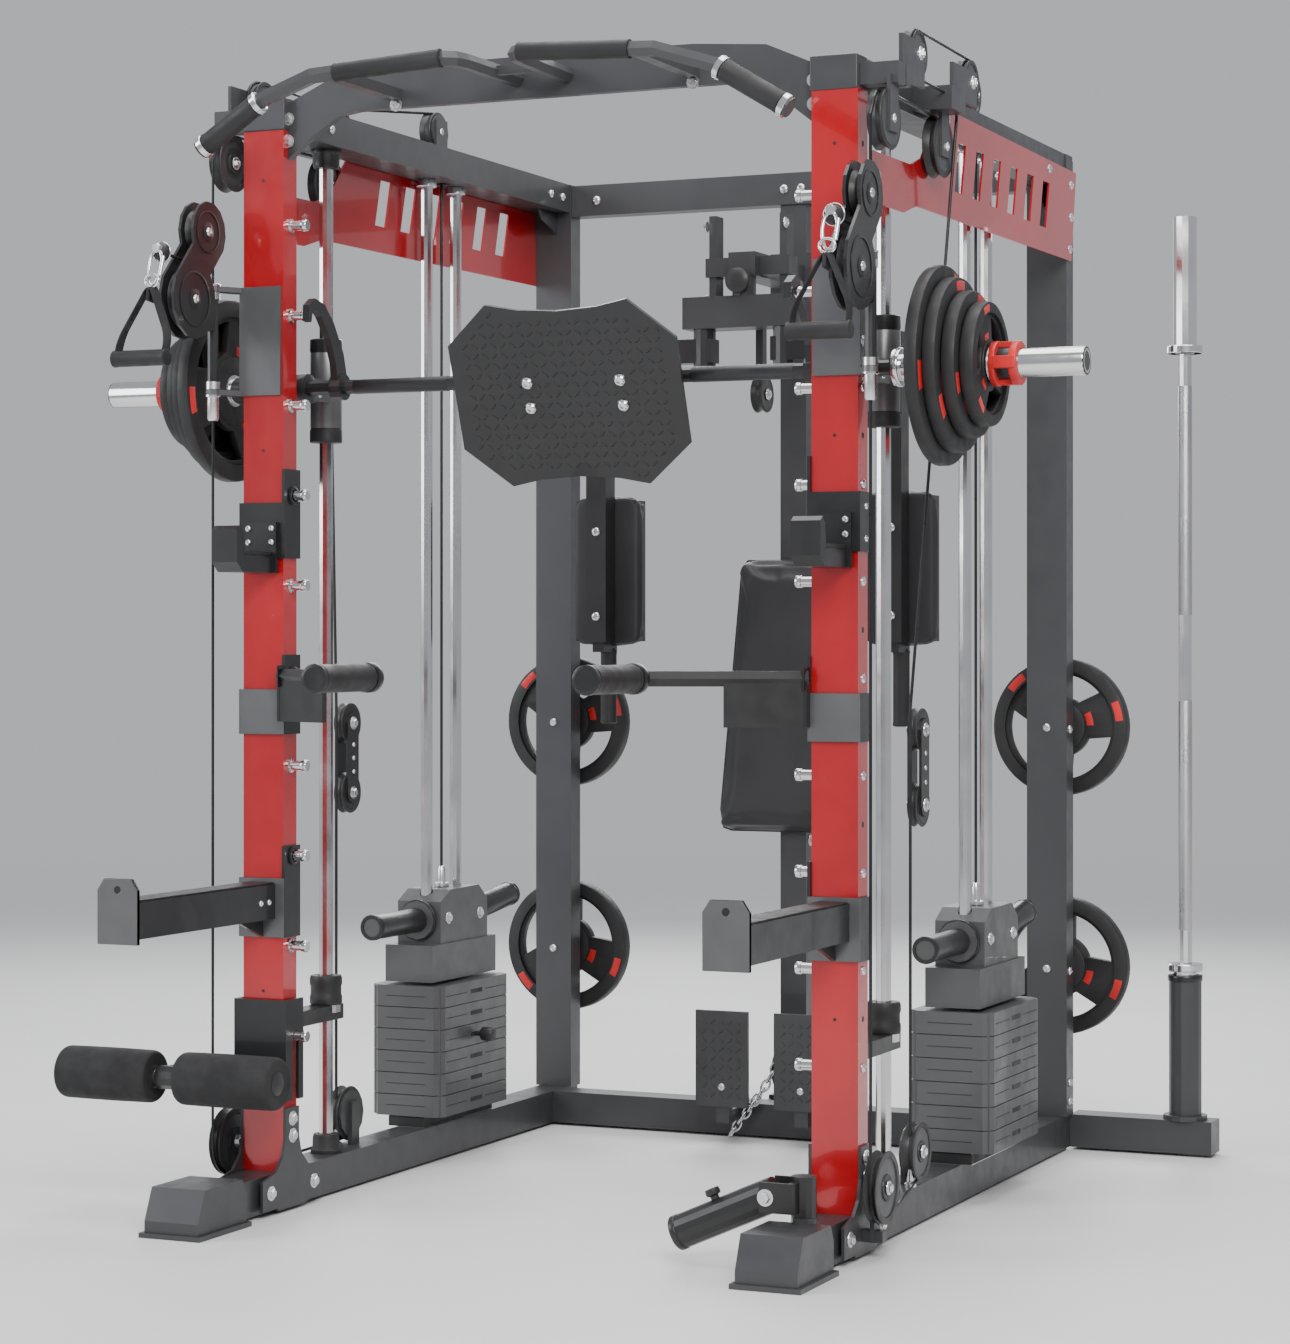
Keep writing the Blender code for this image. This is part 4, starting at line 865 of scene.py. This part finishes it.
press_front = (press_place.to_3x3() @ Vector(FRONT))
heads("press_bolts", "smith_bar", [(press_place @ Vector((u, 0.0001, v)), press_front)
                                   for u, v in press_bolts], radius=0.0125, height=0.0075,
      look=STEEL)
for word, side in SIDES:
    clamp_x = side * 0.094 + 0.030
    clamp = merged([box(clamp_x - 0.030, clamp_x + 0.030, BAR_Y - 0.020, BAR_Y + 0.0215,
                        BAR_Z - 0.0215, BAR_Z + 0.0235)])
    piece("press_clamp_" + word, clamp, BLACK, "smith_bar", bevel=0.003)
    heads("press_clamp_bolts_" + word, "smith_bar",
          [((clamp_x + s * 0.018, BAR_Y + 0.0213, BAR_Z + 0.010), BACK) for s in (-1, 1)],
          kind=bolt, radius=0.0075, height=0.005)
    foot_outline = [(-0.055, -0.096), (0.055, -0.096), (0.055, 0.096), (-0.055, 0.096)]
    foot_place = Matrix.Translation((side * 0.090, 1.0921, 0.1825))
    piece("foot_tread_" + word, tread(foot_place, foot_outline, [(0.0, -0.060, 0.012)]), FRAME, "frame")
    heads("foot_bolt_" + word, "frame", [((side * 0.090, 1.0919, 0.1225), FRONT)], radius=0.008,
          height=0.004)


# ---------------------------------------------------------------- grips and rollers
def grip(start, end, radius, lip=0.006):
    """A moulded rubber grip with raised ends."""
    start, end = Vector(start), Vector(end)
    length = (end - start).length
    profile = [(0, 0), (radius * 0.80, 0), (radius * 1.02, lip * 0.35), (radius * 1.05, lip),
               (radius * 1.02, lip * 1.8), (radius, lip * 2.4), (radius, length - lip * 2.4),
               (radius * 1.02, length - lip * 1.8), (radius * 1.05, length - lip),
               (radius * 1.02, length - lip * 0.35), (radius * 0.80, length), (0, length)]
    return turned(start, end - start, profile, 32)


def roller(x0, x1, y, z, radius):
    """A foam roller with soft shoulders and a slightly full middle."""
    length = x1 - x0
    profile = [(0.012, 0.004), (radius * 0.70, 0.0015), (radius * 0.86, 0.0)]
    profile += [(radius * 0.86 + radius * 0.125 * math.sin(a), 0.011 * (1 - math.cos(a)))
                for a in (math.pi * k / 12 for k in range(1, 7))]
    middle = [(radius * (0.985 + 0.015 * math.sin(math.pi * t)), 0.011 + (length - 0.022) * t)
              for t in (k / 10 for k in range(1, 10))]
    back = [(r, length - h) for r, h in reversed(profile)]
    return turned((x0, y, z), RIGHT, profile + middle + back, 48)


ROLLER_Y, ROLLER_Z = -0.106, 0.257
spans = ((-0.944, -0.745), (-0.686, -0.480))
soft = piece("leg_roller_foam", merged([roller(a, b, ROLLER_Y, ROLLER_Z, 0.050) for a, b in spans]),
             FOAM, "rollers", smooth=70.0)
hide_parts("foam_rollers")
disc = [(0, 0), (0.022, 0), (0.022, 0.003), (0.019, 0.005), (0, 0.005)]
caps = []
for a, b in spans:
    caps.append(turned((a + 0.005, ROLLER_Y, ROLLER_Z), LEFT, disc, 32))
    caps.append(turned((b - 0.005, ROLLER_Y, ROLLER_Z), RIGHT, disc, 32))
piece("leg_roller_caps", merged(caps), PLASTIC, "rollers")
piece("leg_roller_tube", turned((-0.7440, ROLLER_Y, ROLLER_Z), RIGHT,
                                [(0.0104, 0), (0.0145, 0), (0.0145, 0.057), (0.0104, 0.057)], 28),
      STEEL, "leg_roller")
heads("leg_roller_ends", "leg_roller", [((-0.9515, ROLLER_Y, ROLLER_Z), LEFT)], radius=0.0115,
      height=0.005)
heads("leg_roller_bolts", "leg_roller", [((-0.667 + s * 0.045, -0.0242, 0.257), FRONT) for s in (-1, 1)],
      kind=bolt, radius=0.0075, height=0.0045)

for word, side in SIDES:
    body = "dip_handle_%s_body" % word
    piece("dip_grip_" + word, grip((side * 0.262, -0.172, 1.010), (side * 0.262, -0.3555, 1.010),
                                   0.0252), RUBBER, body)
    cap = [(0, 0), (0.0262, 0), (0.0262, 0.004), (0.021, 0.0065), (0.018, 0.0062), (0, 0.0062)]
    collar = [(0, 0), (0.026, 0), (0.0275, 0.002), (0.0275, 0.016), (0.026, 0.018), (0, 0.018)]
    ends = [turned((side * 0.262, -0.3545, 1.010), FRONT, cap, 32),
            turned((side * 0.262, -0.150, 1.010), FRONT, collar, 32)]
    piece("dip_ends_" + word, merged(ends), BLACK, body)
    body = "frame"
    inner, tip = Vector((side * 0.452, -0.2266, 2.051)), Vector((side * 0.577, -0.221, 1.974))
    run = (tip - inner).normalized()
    piece("pull_grip_" + word, grip(inner + run * 0.008, tip - run * 0.016, 0.0192, 0.004), RUBBER, body)
    ferrule = [(0, 0), (0.0195, 0), (0.0212, 0.001), (0.0212, 0.011), (0.0195, 0.012), (0, 0.012)]
    piece("pull_grip_ends_" + word, merged([turned(inner - run * 0.004, run, ferrule, 32),
                                            turned(tip - run * 0.016, run, ferrule, 32)]), STEEL, body)
    straight = [(side * 0.075, -0.236, 2.1035), (side * 0.290, -0.236, 2.0925)]
    piece("pull_bar_grip_" + word, grip(straight[0], straight[1], 0.0163, 0.003), RUBBER, body)
    arch_bolts = [bolt((side * x, 0.0155, z), FRONT, 0.0085, 0.0055)
                  for x, z in ((0.300, 2.074), (0.530, 2.020), (0.530, 2.062))]
    piece("arch_bracket_bolts_" + word, merged(arch_bolts), ZINC, body)

# ---------------------------------------------------------------- swivel heads and trolleys
UPPER, LOWER = (-0.091, 1.842), (-0.137, 1.712)
for word, side in SIDES:
    body = "swivel_" + word
    for label, (y, z), radius in (("upper", UPPER, 0.046), ("lower", LOWER, 0.060)):
        half = 0.0100
        piece("swivel_wheel_%s_%s" % (label, word),
              pulley(side * CABLE_X, y, z, radius - 0.004, half), PLASTIC, body)
        for face, s in (("in", -1), ("out", 1)):
            x = side * CABLE_X + s * 0.0166
            lip = ring((x, y, z), (s, 0, 0), radius * 0.80, radius * 0.88, 0.0016, 0.0005, 48)
            hub = turned((x - s * 0.0004, y, z), (s, 0, 0),
                         [(0, 0), (0.019, 0), (0.019, 0.0012), (0.016, 0.0024), (0, 0.0024)], 32)
            piece("swivel_face_%s_%s_%s" % (label, face, word), merged([lip, hub]), BLACK, body)
        heads("swivel_bolts_%s_%s" % (label, word), body,
              through(side * CABLE_X, y, z, 0.0185), radius=0.0085, height=0.0045)
    hub = [(0.0110, 0), (0.0135, 0), (0.0135, 0.014), (0.0110, 0.014)]
    piece("swivel_hub_" + word, merged([turned((side * CABLE_X, CABLE_Y, z), UP, hub, 28)
                                        for z in (1.5508, 1.7200)]), ZINC, body)
    body = "trolley_" + word
    lug = [(0.0062, 0), (0.0145, 0), (0.0145, 0.0035), (0.0120, 0.005), (0.0062, 0.005)]
    bosses = [turned((side * CABLE_X, CABLE_Y, 1.7451), UP, lug, 28),
              turned((side * CABLE_X, CABLE_Y, 1.5399), DOWN, lug, 28)]
    piece("trolley_bosses_" + word, merged(bosses), STEEL, body)
    stem = [(0.0055, 0), (0.0110, 0), (0.0110, 0.040), (0.0085, 0.044), (0.0055, 0.044)]
    piece("trolley_stem_" + word, turned((side * CABLE_X, CABLE_Y, 1.5352), DOWN, stem, 28), ZINC, body)
    heads("trolley_bolts_" + word, body, [((side * 0.6243, y, z), (side, 0, 0))
                                          for y in (0.010, 0.040) for z in (1.600, 1.685)],
          kind=bolt, radius=0.0070, height=0.0045)


def ribbon(points, width, thickness, across):
    """A flat strap along a line of points; across is the direction of its width."""
    bm = bmesh.new()
    points = [Vector(p) for p in points]
    across = Vector(across).normalized()
    rings = []
    for k, point in enumerate(points):
        ahead = points[min(k + 1, len(points) - 1)] - points[max(k - 1, 0)]
        normal = ahead.cross(across).normalized()
        flat = ahead.cross(normal).normalized()
        corners = []
        for u, v in ((-0.5, 0.3), (-0.46, 0.5), (0.46, 0.5), (0.5, 0.3), (0.5, -0.3), (0.46, -0.5),
                     (-0.46, -0.5), (-0.5, -0.3)):
            corners.append(bm.verts.new(point + flat * (u * width) + normal * (v * thickness)))
        rings.append(corners)
    for low, high in zip(rings, rings[1:]):
        for k in range(8):
            n = (k + 1) % 8
            bm.faces.new((low[k], low[n], high[n], high[k]))
    bm.faces.new(rings[0][::-1])
    bm.faces.new(rings[-1])
    bmesh.ops.recalc_face_normals(bm, faces=bm.faces)
    return to_mesh(bm)


# ---------------------------------------------------------------- strap handles
BALL_Y, BALL_Z, GRIP_Y, GRIP_Z = -0.226, 1.790, -0.296, 1.590
for word, side in SIDES:
    body = "strap_" + word
    x = side * CABLE_X
    ball_profile = [(0.0165 * math.sin(math.pi * k / 14), 0.0165 * (1 - math.cos(math.pi * k / 14)))
                    for k in range(15)]
    ball_profile[0], ball_profile[-1] = (0, 0), (0, 0.033)
    piece("stopper_" + word, turned((x, BALL_Y + 0.0165, BALL_Z), FRONT, ball_profile, 32), RUBBER, body)
    piece("handle_cable_" + word, tube([(x, -0.104, 1.782), (x, -0.160, 1.7845),
                                        (x, -0.2115, 1.7895)], 0.003, 3), CABLE, "swivel_" + word)
    collar = [(x + 0.0185 * math.cos(a), BALL_Y + 0.001, BALL_Z + 0.0185 * math.sin(a)) for a in
              (2 * math.pi * k / 28 for k in range(28))]
    piece("stopper_ring_" + word, tube(collar, 0.0014, 3, closed=True), STEEL, body)
    top = Vector((x, BALL_Y - 0.014, BALL_Z + 0.002))
    bottom = Vector((x, BALL_Y - 0.030, BALL_Z - 0.066))
    down = (bottom - top).normalized()
    loop = []
    for k in range(30):
        a = 2 * math.pi * k / 30
        along = (0.5 - 0.5 * math.cos(a)) * 0.066
        wide = math.sin(a) * (0.0150 - 0.0045 * along / 0.066)
        loop.append(top + down * along + Vector((wide, 0, 0)))
    piece("carabiner_" + word, tube(loop, 0.0032, 4, closed=True), STEEL, body)
    gate = rod(top + down * 0.012 + Vector((0.0145, 0, 0)),
               top + down * 0.050 + Vector((0.0118, 0, 0)), 0.0040, 20)
    eye = turned(top + down * -0.004 + Vector((0, 0.010, 0)), FRONT,
                 [(0, 0), (0.008, 0), (0.009, 0.002), (0.009, 0.016), (0.008, 0.018), (0, 0.018)],
                 24)
    piece("carabiner_gate_" + word, merged([gate, eye]), ZINC, body)
    dee = [bottom + Vector((0.014 * math.sin(a), -0.002, 0.010 - 0.012 * math.cos(a))) for a in
           (2 * math.pi * k / 24 for k in range(24))]
    piece("handle_ring_" + word, tube(dee, 0.0026, 3, closed=True), STEEL, body)
    knot = bottom + Vector((0, -0.003, 0.008))
    half = 0.050
    route = bend([(x - half, GRIP_Y, GRIP_Z), (x - half, GRIP_Y + 0.014, GRIP_Z + 0.040), knot,
                  (x + half, GRIP_Y + 0.014, GRIP_Z + 0.040), (x + half, GRIP_Y, GRIP_Z)], 0.022, 6)
    strap = ribbon(route, 0.0230, 0.0030, (0, 1, 0.25))
    wrapped = piece("handle_strap_" + word, strap, WEB, body)
    sewn = ribbon([knot + Vector((0, -0.001, -0.014)), knot + Vector((0, -0.004, -0.036))], 0.026,
                  0.0068, (0, 1, 0.25))
    piece("handle_stitch_" + word, sewn, WEB, body)
    piece("handle_grip_" + word, grip((x - 0.0575, GRIP_Y, GRIP_Z), (x + 0.0575, GRIP_Y, GRIP_Z),
                                      0.0150, 0.004), RUBBER, body)
    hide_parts("strap_handle_" + word)

# ---------------------------------------------------------------- attachments on the pins
for word, side in SIDES:
    body = "j_hook_%s_body" % word
    liner = [(-0.0140, 1.2362), (-0.1175, 1.2362), (-0.1215, 1.2800), (-0.1180, 1.2830),
             (-0.1125, 1.2800), (-0.1085, 1.2440), (-0.0140, 1.2440)]
    piece("j_hook_liner_" + word, slab(liner, "X", *sorted((side * 0.5500, side * 0.6000)),
                                       round_edge=0.001), PLASTIC, body)
    hook_bolts = [((side * x, -0.0142, z), FRONT) for x in (0.550, 0.600) for z in (1.262, 1.288)]
    hook_bolts += [((side * 0.6243, 0.024, z), (side, 0, 0)) for z in (1.255, 1.312)]
    heads("j_hook_bolts_" + word, body, hook_bolts, radius=0.0060, height=0.0035)
    for label, body, z in (("j_hook", "j_hook_%s_body" % word, 1.3506),
                           ("dip", "dip_handle_%s_body" % word, 1.0104),
                           ("spotter", "spotter_arm_%s_body" % word, 0.6702)):
        sleeve = [(0.0118, 0), (0.0160, 0), (0.0172, 0.001), (0.0172, 0.004), (0.0160, 0.005),
                  (0.0118, 0.005)]
        piece("%s_pin_boss_%s" % (label, word),
              turned((side * 0.5258, 0.025, z), (-side, 0, 0), sleeve, 28), BLACK, body)
    body = "spotter_arm_%s_body" % word
    plate = [(0.534, 0.5452), (0.616, 0.5452), (0.616, 0.640), (0.603, 0.660), (0.547, 0.660),
             (0.534, 0.640)]
    plate = [(side * u, v) for u, v in plate]
    piece("spotter_end_" + word, slab(plate, "Y", -0.5003, -0.4915,
                                      [circle(side * 0.575, 0.641, 0.0068, 24)], 0.0008), SATIN,
          body, smooth=20.0)
    heads("spotter_bolts_" + word, body, [((side * 0.545, y, 0.585), (-side, 0, 0))
                                          for y in (-0.030, -0.060)], radius=0.0060, height=0.0035)
    piece("spotter_liner_" + word, box(side * 0.548, side * 0.602, -0.4900, -0.0080, 0.6178,
                                       0.6218), RUBBER, body, bevel=0.0012)
    for label, z0, z1, body in (("dip", 0.900, 0.985, "dip_handle_%s_body"),
                                ("spotter", 0.517, 0.629, "spotter_arm_%s_body")):
        front = box(side * (POST_IN - 0.0052), side * (POST_OUT + 0.0062), -0.0072, -0.0052,
                    z0 + 0.0003, z1 - 0.0003)
        piece("%s_sleeve_front_%s" % (label, word), front, SATIN, body % word, bevel=0.0006)

# ---------------------------------------------------------------- pec fly station and rear column
for word, side in SIDES:
    body = "pec_" + word
    heads("pec_arm_bolts_" + word, body, [((side * 0.333, 0.9778, z), FRONT) for z in (1.309, 1.128)],
          kind=dome_bolt, radius=0.0095, height=0.005, look=STEEL)
    piece("pec_grip_" + word, grip((side * 0.333, 1.045, 1.058), (side * 0.333, 1.045, 0.898),
                                   0.0172, 0.005), RUBBER, body)
    heads("pec_pivot_bolts_" + word, body, [((side * 0.090, 1.000, 1.7122), UP)], kind=bolt,
          radius=0.012, height=0.008)
pivots = [((side * 0.0883, y, z), (side, 0, 0)) for side in (-1, 1)
          for y, z in ((1.012, 1.952), (1.012, 1.795))]
heads("pec_link_bolts", "frame", pivots, kind=bolt, radius=0.0080, height=0.0050)
knob = [(0, 0), (0.020, 0), (0.026, 0.004), (0.027, 0.010), (0.026, 0.018), (0.020, 0.022),
        (0.010, 0.0235), (0, 0.0235)]
piece("pec_knob", turned((0.0, 0.9748, 1.830), FRONT, [(0.008, -0.020), (0.010, 0.0), *knob[1:]],
                         36), PLASTIC, "frame")
piece("pec_pulley", pulley(0.0, 1.100, 1.600, 0.0385, 0.0120), PLASTIC, "frame")
heads("pec_pulley_bolts", "frame", through(0.0, 1.100, 1.600, 0.0140), kind=bolt,
      radius=0.0085, height=0.0055)
piece("low_row_wheel", pulley(0.0, 1.225, 0.150, 0.0430, 0.0118), PLASTIC, "frame")
heads("low_row_bolts", "frame", through(0.0, 1.225, 0.150, 0.0135), kind=bolt,
      radius=0.0085, height=0.0055)
heads("column_bolts", "frame", [((s * 0.0302, 1.310, z), (s, 0, 0)) for s in (-1, 1)
                                for z in (0.640, 0.720, 1.180, 1.230)], kind=bolt, radius=0.0085,
      height=0.0055)
heads("top_beam_bolts", "frame", [((x, 1.2798, 2.062), FRONT) for x in (-0.470, -0.020, 0.020, 0.470)],
      radius=0.0100, height=0.005)

# ---------------------------------------------------------------- chain on the low row
CHAIN_TOP, CHAIN_END = Vector((0.016, 1.178, 0.196)), Vector((-0.094, 1.150, 0.010))
links = []
count = 11
for k in range(count):
    t = (k + 0.5) / count
    middle = CHAIN_TOP.lerp(CHAIN_END, t) - Vector((0, 0, 0.030 * math.sin(math.pi * t) * (1 - t)))
    middle.z = max(middle.z, 0.0075)
    ahead = (CHAIN_END - CHAIN_TOP).normalized()
    across = ahead.cross(Vector(BACK))
    across = (across if k % 2 else ahead.cross(across)).normalized()
    shape = []
    for m in range(20):
        a = 2 * math.pi * m / 20
        shape.append(middle + ahead * (0.0145 * math.cos(a)) + across * (0.0082 * math.sin(a)))
    links.append(tube(shape, 0.0024, 3, closed=True))
piece("low_row_chain", merged(links), STEEL, "frame")
hook_points = [CHAIN_TOP + Vector((0.004 + 0.012 * math.sin(a), 0.020 * math.cos(a) + 0.010,
                                   0.014 * math.sin(a) - 0.004))
               for a in (2 * math.pi * k / 24 for k in range(24))]
piece("low_row_hook", tube(hook_points, 0.0030, 3, closed=True), STEEL, "frame")

# ---------------------------------------------------------------- landmine and stored bar
LAND_Y = -0.150
heads("landmine_axis_bolt", "landmine_yoke", [((0.520, LAND_Y + s * 0.0400, 0.130), (0, s, 0))
                                              for s in (-1, 1)], kind=bolt, radius=0.0100,
      height=0.006)
along = (Vector((0.340, LAND_Y, 0.050)) - Vector((0.520, LAND_Y, 0.130))).normalized()
start = Vector((0.520, LAND_Y, 0.130)) + along * 0.030
reach = (Vector((0.340, LAND_Y, 0.050)) - start).length
lip = [(0.0262, 0), (0.0304, 0), (0.0312, 0.001), (0.0312, 0.010), (0.0304, 0.011), (0.0262, 0.011)]
piece("landmine_lip", turned(start + along * (reach - 0.011), along, lip, 40), BLACK, "landmine_sleeve")
up = Vector((-along.z, 0, along.x)) if along.x > 0 else Vector((along.z, 0, -along.x))
stud = [(0, 0), (0.0075, 0), (0.0075, 0.006), (0.0125, 0.008), (0.0135, 0.012), (0.0125, 0.019),
        (0, 0.020)]
piece("landmine_set_screw", turned(start + along * 0.075 + up * 0.0295, up, stud, 28), PLASTIC,
      "landmine_sleeve")
for label, z in (("low", 0.384), ("high", 1.678)):
    stop = [(0.020, 0), (0.0345, 0), (0.0368, 0.002), (0.0368, 0.014), (0.0345, 0.0162), (0.020, 0.0162)]
    piece("stored_bar_stop_" + label, turned((*STORED_BAR, z), UP, stop, 44), STEEL, "stored_bar")
for label, z in (("low", 0.470), ("high", 1.130)):
    grooved = [(0.0141, 0), (0.0144, 0.002), (0.0144, 0.478), (0.0141, 0.480)]
    piece("stored_bar_knurl_" + label, turned((*STORED_BAR, z), UP, grooved, 28), KNURL, "stored_bar")
socket = [(0.0270, 0), (0.0352, 0), (0.0360, 0.001), (0.0360, 0.012), (0.0352, 0.013), (0.0270, 0.013)]
piece("socket_lip", turned((*STORED_BAR, 0.3635), UP, socket, 40), BLACK, "frame")

# ---------------------------------------------------------------- upholstered pads
def final_mesh(made):
    """The object's mesh with its modifiers applied."""
    graph = bpy.context.evaluated_depsgraph_get()
    return bpy.data.meshes.new_from_object(made.evaluated_get(graph))


def stuffed(form, voxel, board, side, swell):
    """A stapled cushion: the form is inflated as cloth while its board face stays put."""
    made = bpy.data.objects.new("pad_form", form)
    bpy.context.scene.collection.objects.link(made)
    skin = made.modifiers.new("skin", "REMESH")
    skin.mode = "VOXEL"
    skin.voxel_size = voxel
    ease = made.modifiers.new("ease", "SMOOTH")
    ease.factor, ease.iterations = 0.5, 6
    mesh = final_mesh(made)
    made.modifiers.clear()
    made.data = mesh
    start = [v.co.copy() for v in mesh.vertices]
    pinned = made.vertex_groups.new(name="board")
    pinned.add([v.index for v in mesh.vertices if (v.co.y - board) * side < 0.010], 1.0, "REPLACE")
    cloth = made.modifiers.new("cloth", "CLOTH")
    cloth.settings.quality = 4
    cloth.settings.mass = 0.3
    cloth.settings.use_pressure = True
    cloth.settings.uniform_pressure_force = 4.0
    cloth.settings.effector_weights.gravity = 0.0
    cloth.settings.vertex_group_mass = "board"
    cloth.point_cache.frame_start, cloth.point_cache.frame_end = 1, 20
    for step in range(1, 21):
        bpy.context.scene.frame_set(step)
        bpy.context.view_layer.update()
    puffed = final_mesh(made)
    bpy.context.scene.frame_set(1)
    made.modifiers.clear()
    for vertex, before in zip(puffed.vertices, start):
        move = vertex.co - before
        if move.length > swell:
            vertex.co = before + move * (swell / move.length)
    made.data = puffed
    even = made.modifiers.new("even", "SMOOTH")
    even.factor, even.iterations = 0.5, 3
    finer = made.modifiers.new("finer", "SUBSURF")
    finer.levels = finer.render_levels = 1
    mesh = final_mesh(made)
    bpy.data.objects.remove(made)
    return mesh


def piping(outline, y, radius):
    """A cord of piping along an outline."""
    return tube([(u, y, v) for u, v in outline], radius, 3, closed=True)


BACK_HALF = [(0.105, 1.258), (0.120, 1.240), (0.172, 0.700), (0.165, 0.660), (0.145, 0.654)]
back_outline = BACK_HALF + [(-u, v) for u, v in reversed(BACK_HALF)]


def inset(outline, amount):
    """An outline drawn in towards its middle by a set amount."""
    cu = sum(u for u, _ in outline) / len(outline)
    cv = (max(v for _, v in outline) + min(v for _, v in outline)) / 2
    half_v = (max(v for _, v in outline) - min(v for _, v in outline)) / 2
    half_u = max(abs(u - cu) for u, _ in outline)
    return [(cu + (u - cu) * (1 - amount / half_u), cv + (v - cv) * (1 - amount / half_v))
            for u, v in outline]


back_form = slab(inset(back_outline, 0.007), "Y", 1.2325, 1.2815)
back = piece("back_cushion", stuffed(back_form, 0.006, 1.2815, -1, 0.012), VINYL, "frame", smooth=180.0)
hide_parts("back_pad")
piece("back_piping", piping(inset(back_outline, 0.0070), 1.2720, 0.0022), VINYL, "frame")
heads("back_pad_bolts", "frame", [((0.0, 1.2825, z), BACK) for z in (0.760, 1.140)], radius=0.006,
      height=0.0025)

for word, side in SIDES:
    low_x, high_x = sorted((side * 0.263, side * 0.403))
    corners = [(low_x, 1.075), (high_x, 1.075), (high_x, 1.377), (low_x, 1.377)]
    rounded = []
    for (cu, cv), turn in zip([(low_x + 0.016, 1.091), (high_x - 0.016, 1.091), (high_x - 0.016, 1.361),
                               (low_x + 0.016, 1.361)], (180, 270, 0, 90)):
        rounded += arc(cu, cv, 0.0215, turn, turn + 90, 5)
    form = slab(rounded, "Y", 1.0288, 1.0800)
    cushion = piece("pec_cushion_" + word, stuffed(form, 0.005, 1.0288, 1, 0.009), VINYL,
                    "pec_" + word, smooth=180.0)
    piece("pec_piping_" + word, piping(inset(rounded, 0.0012), 1.0400, 0.0024), VINYL, "pec_" + word)
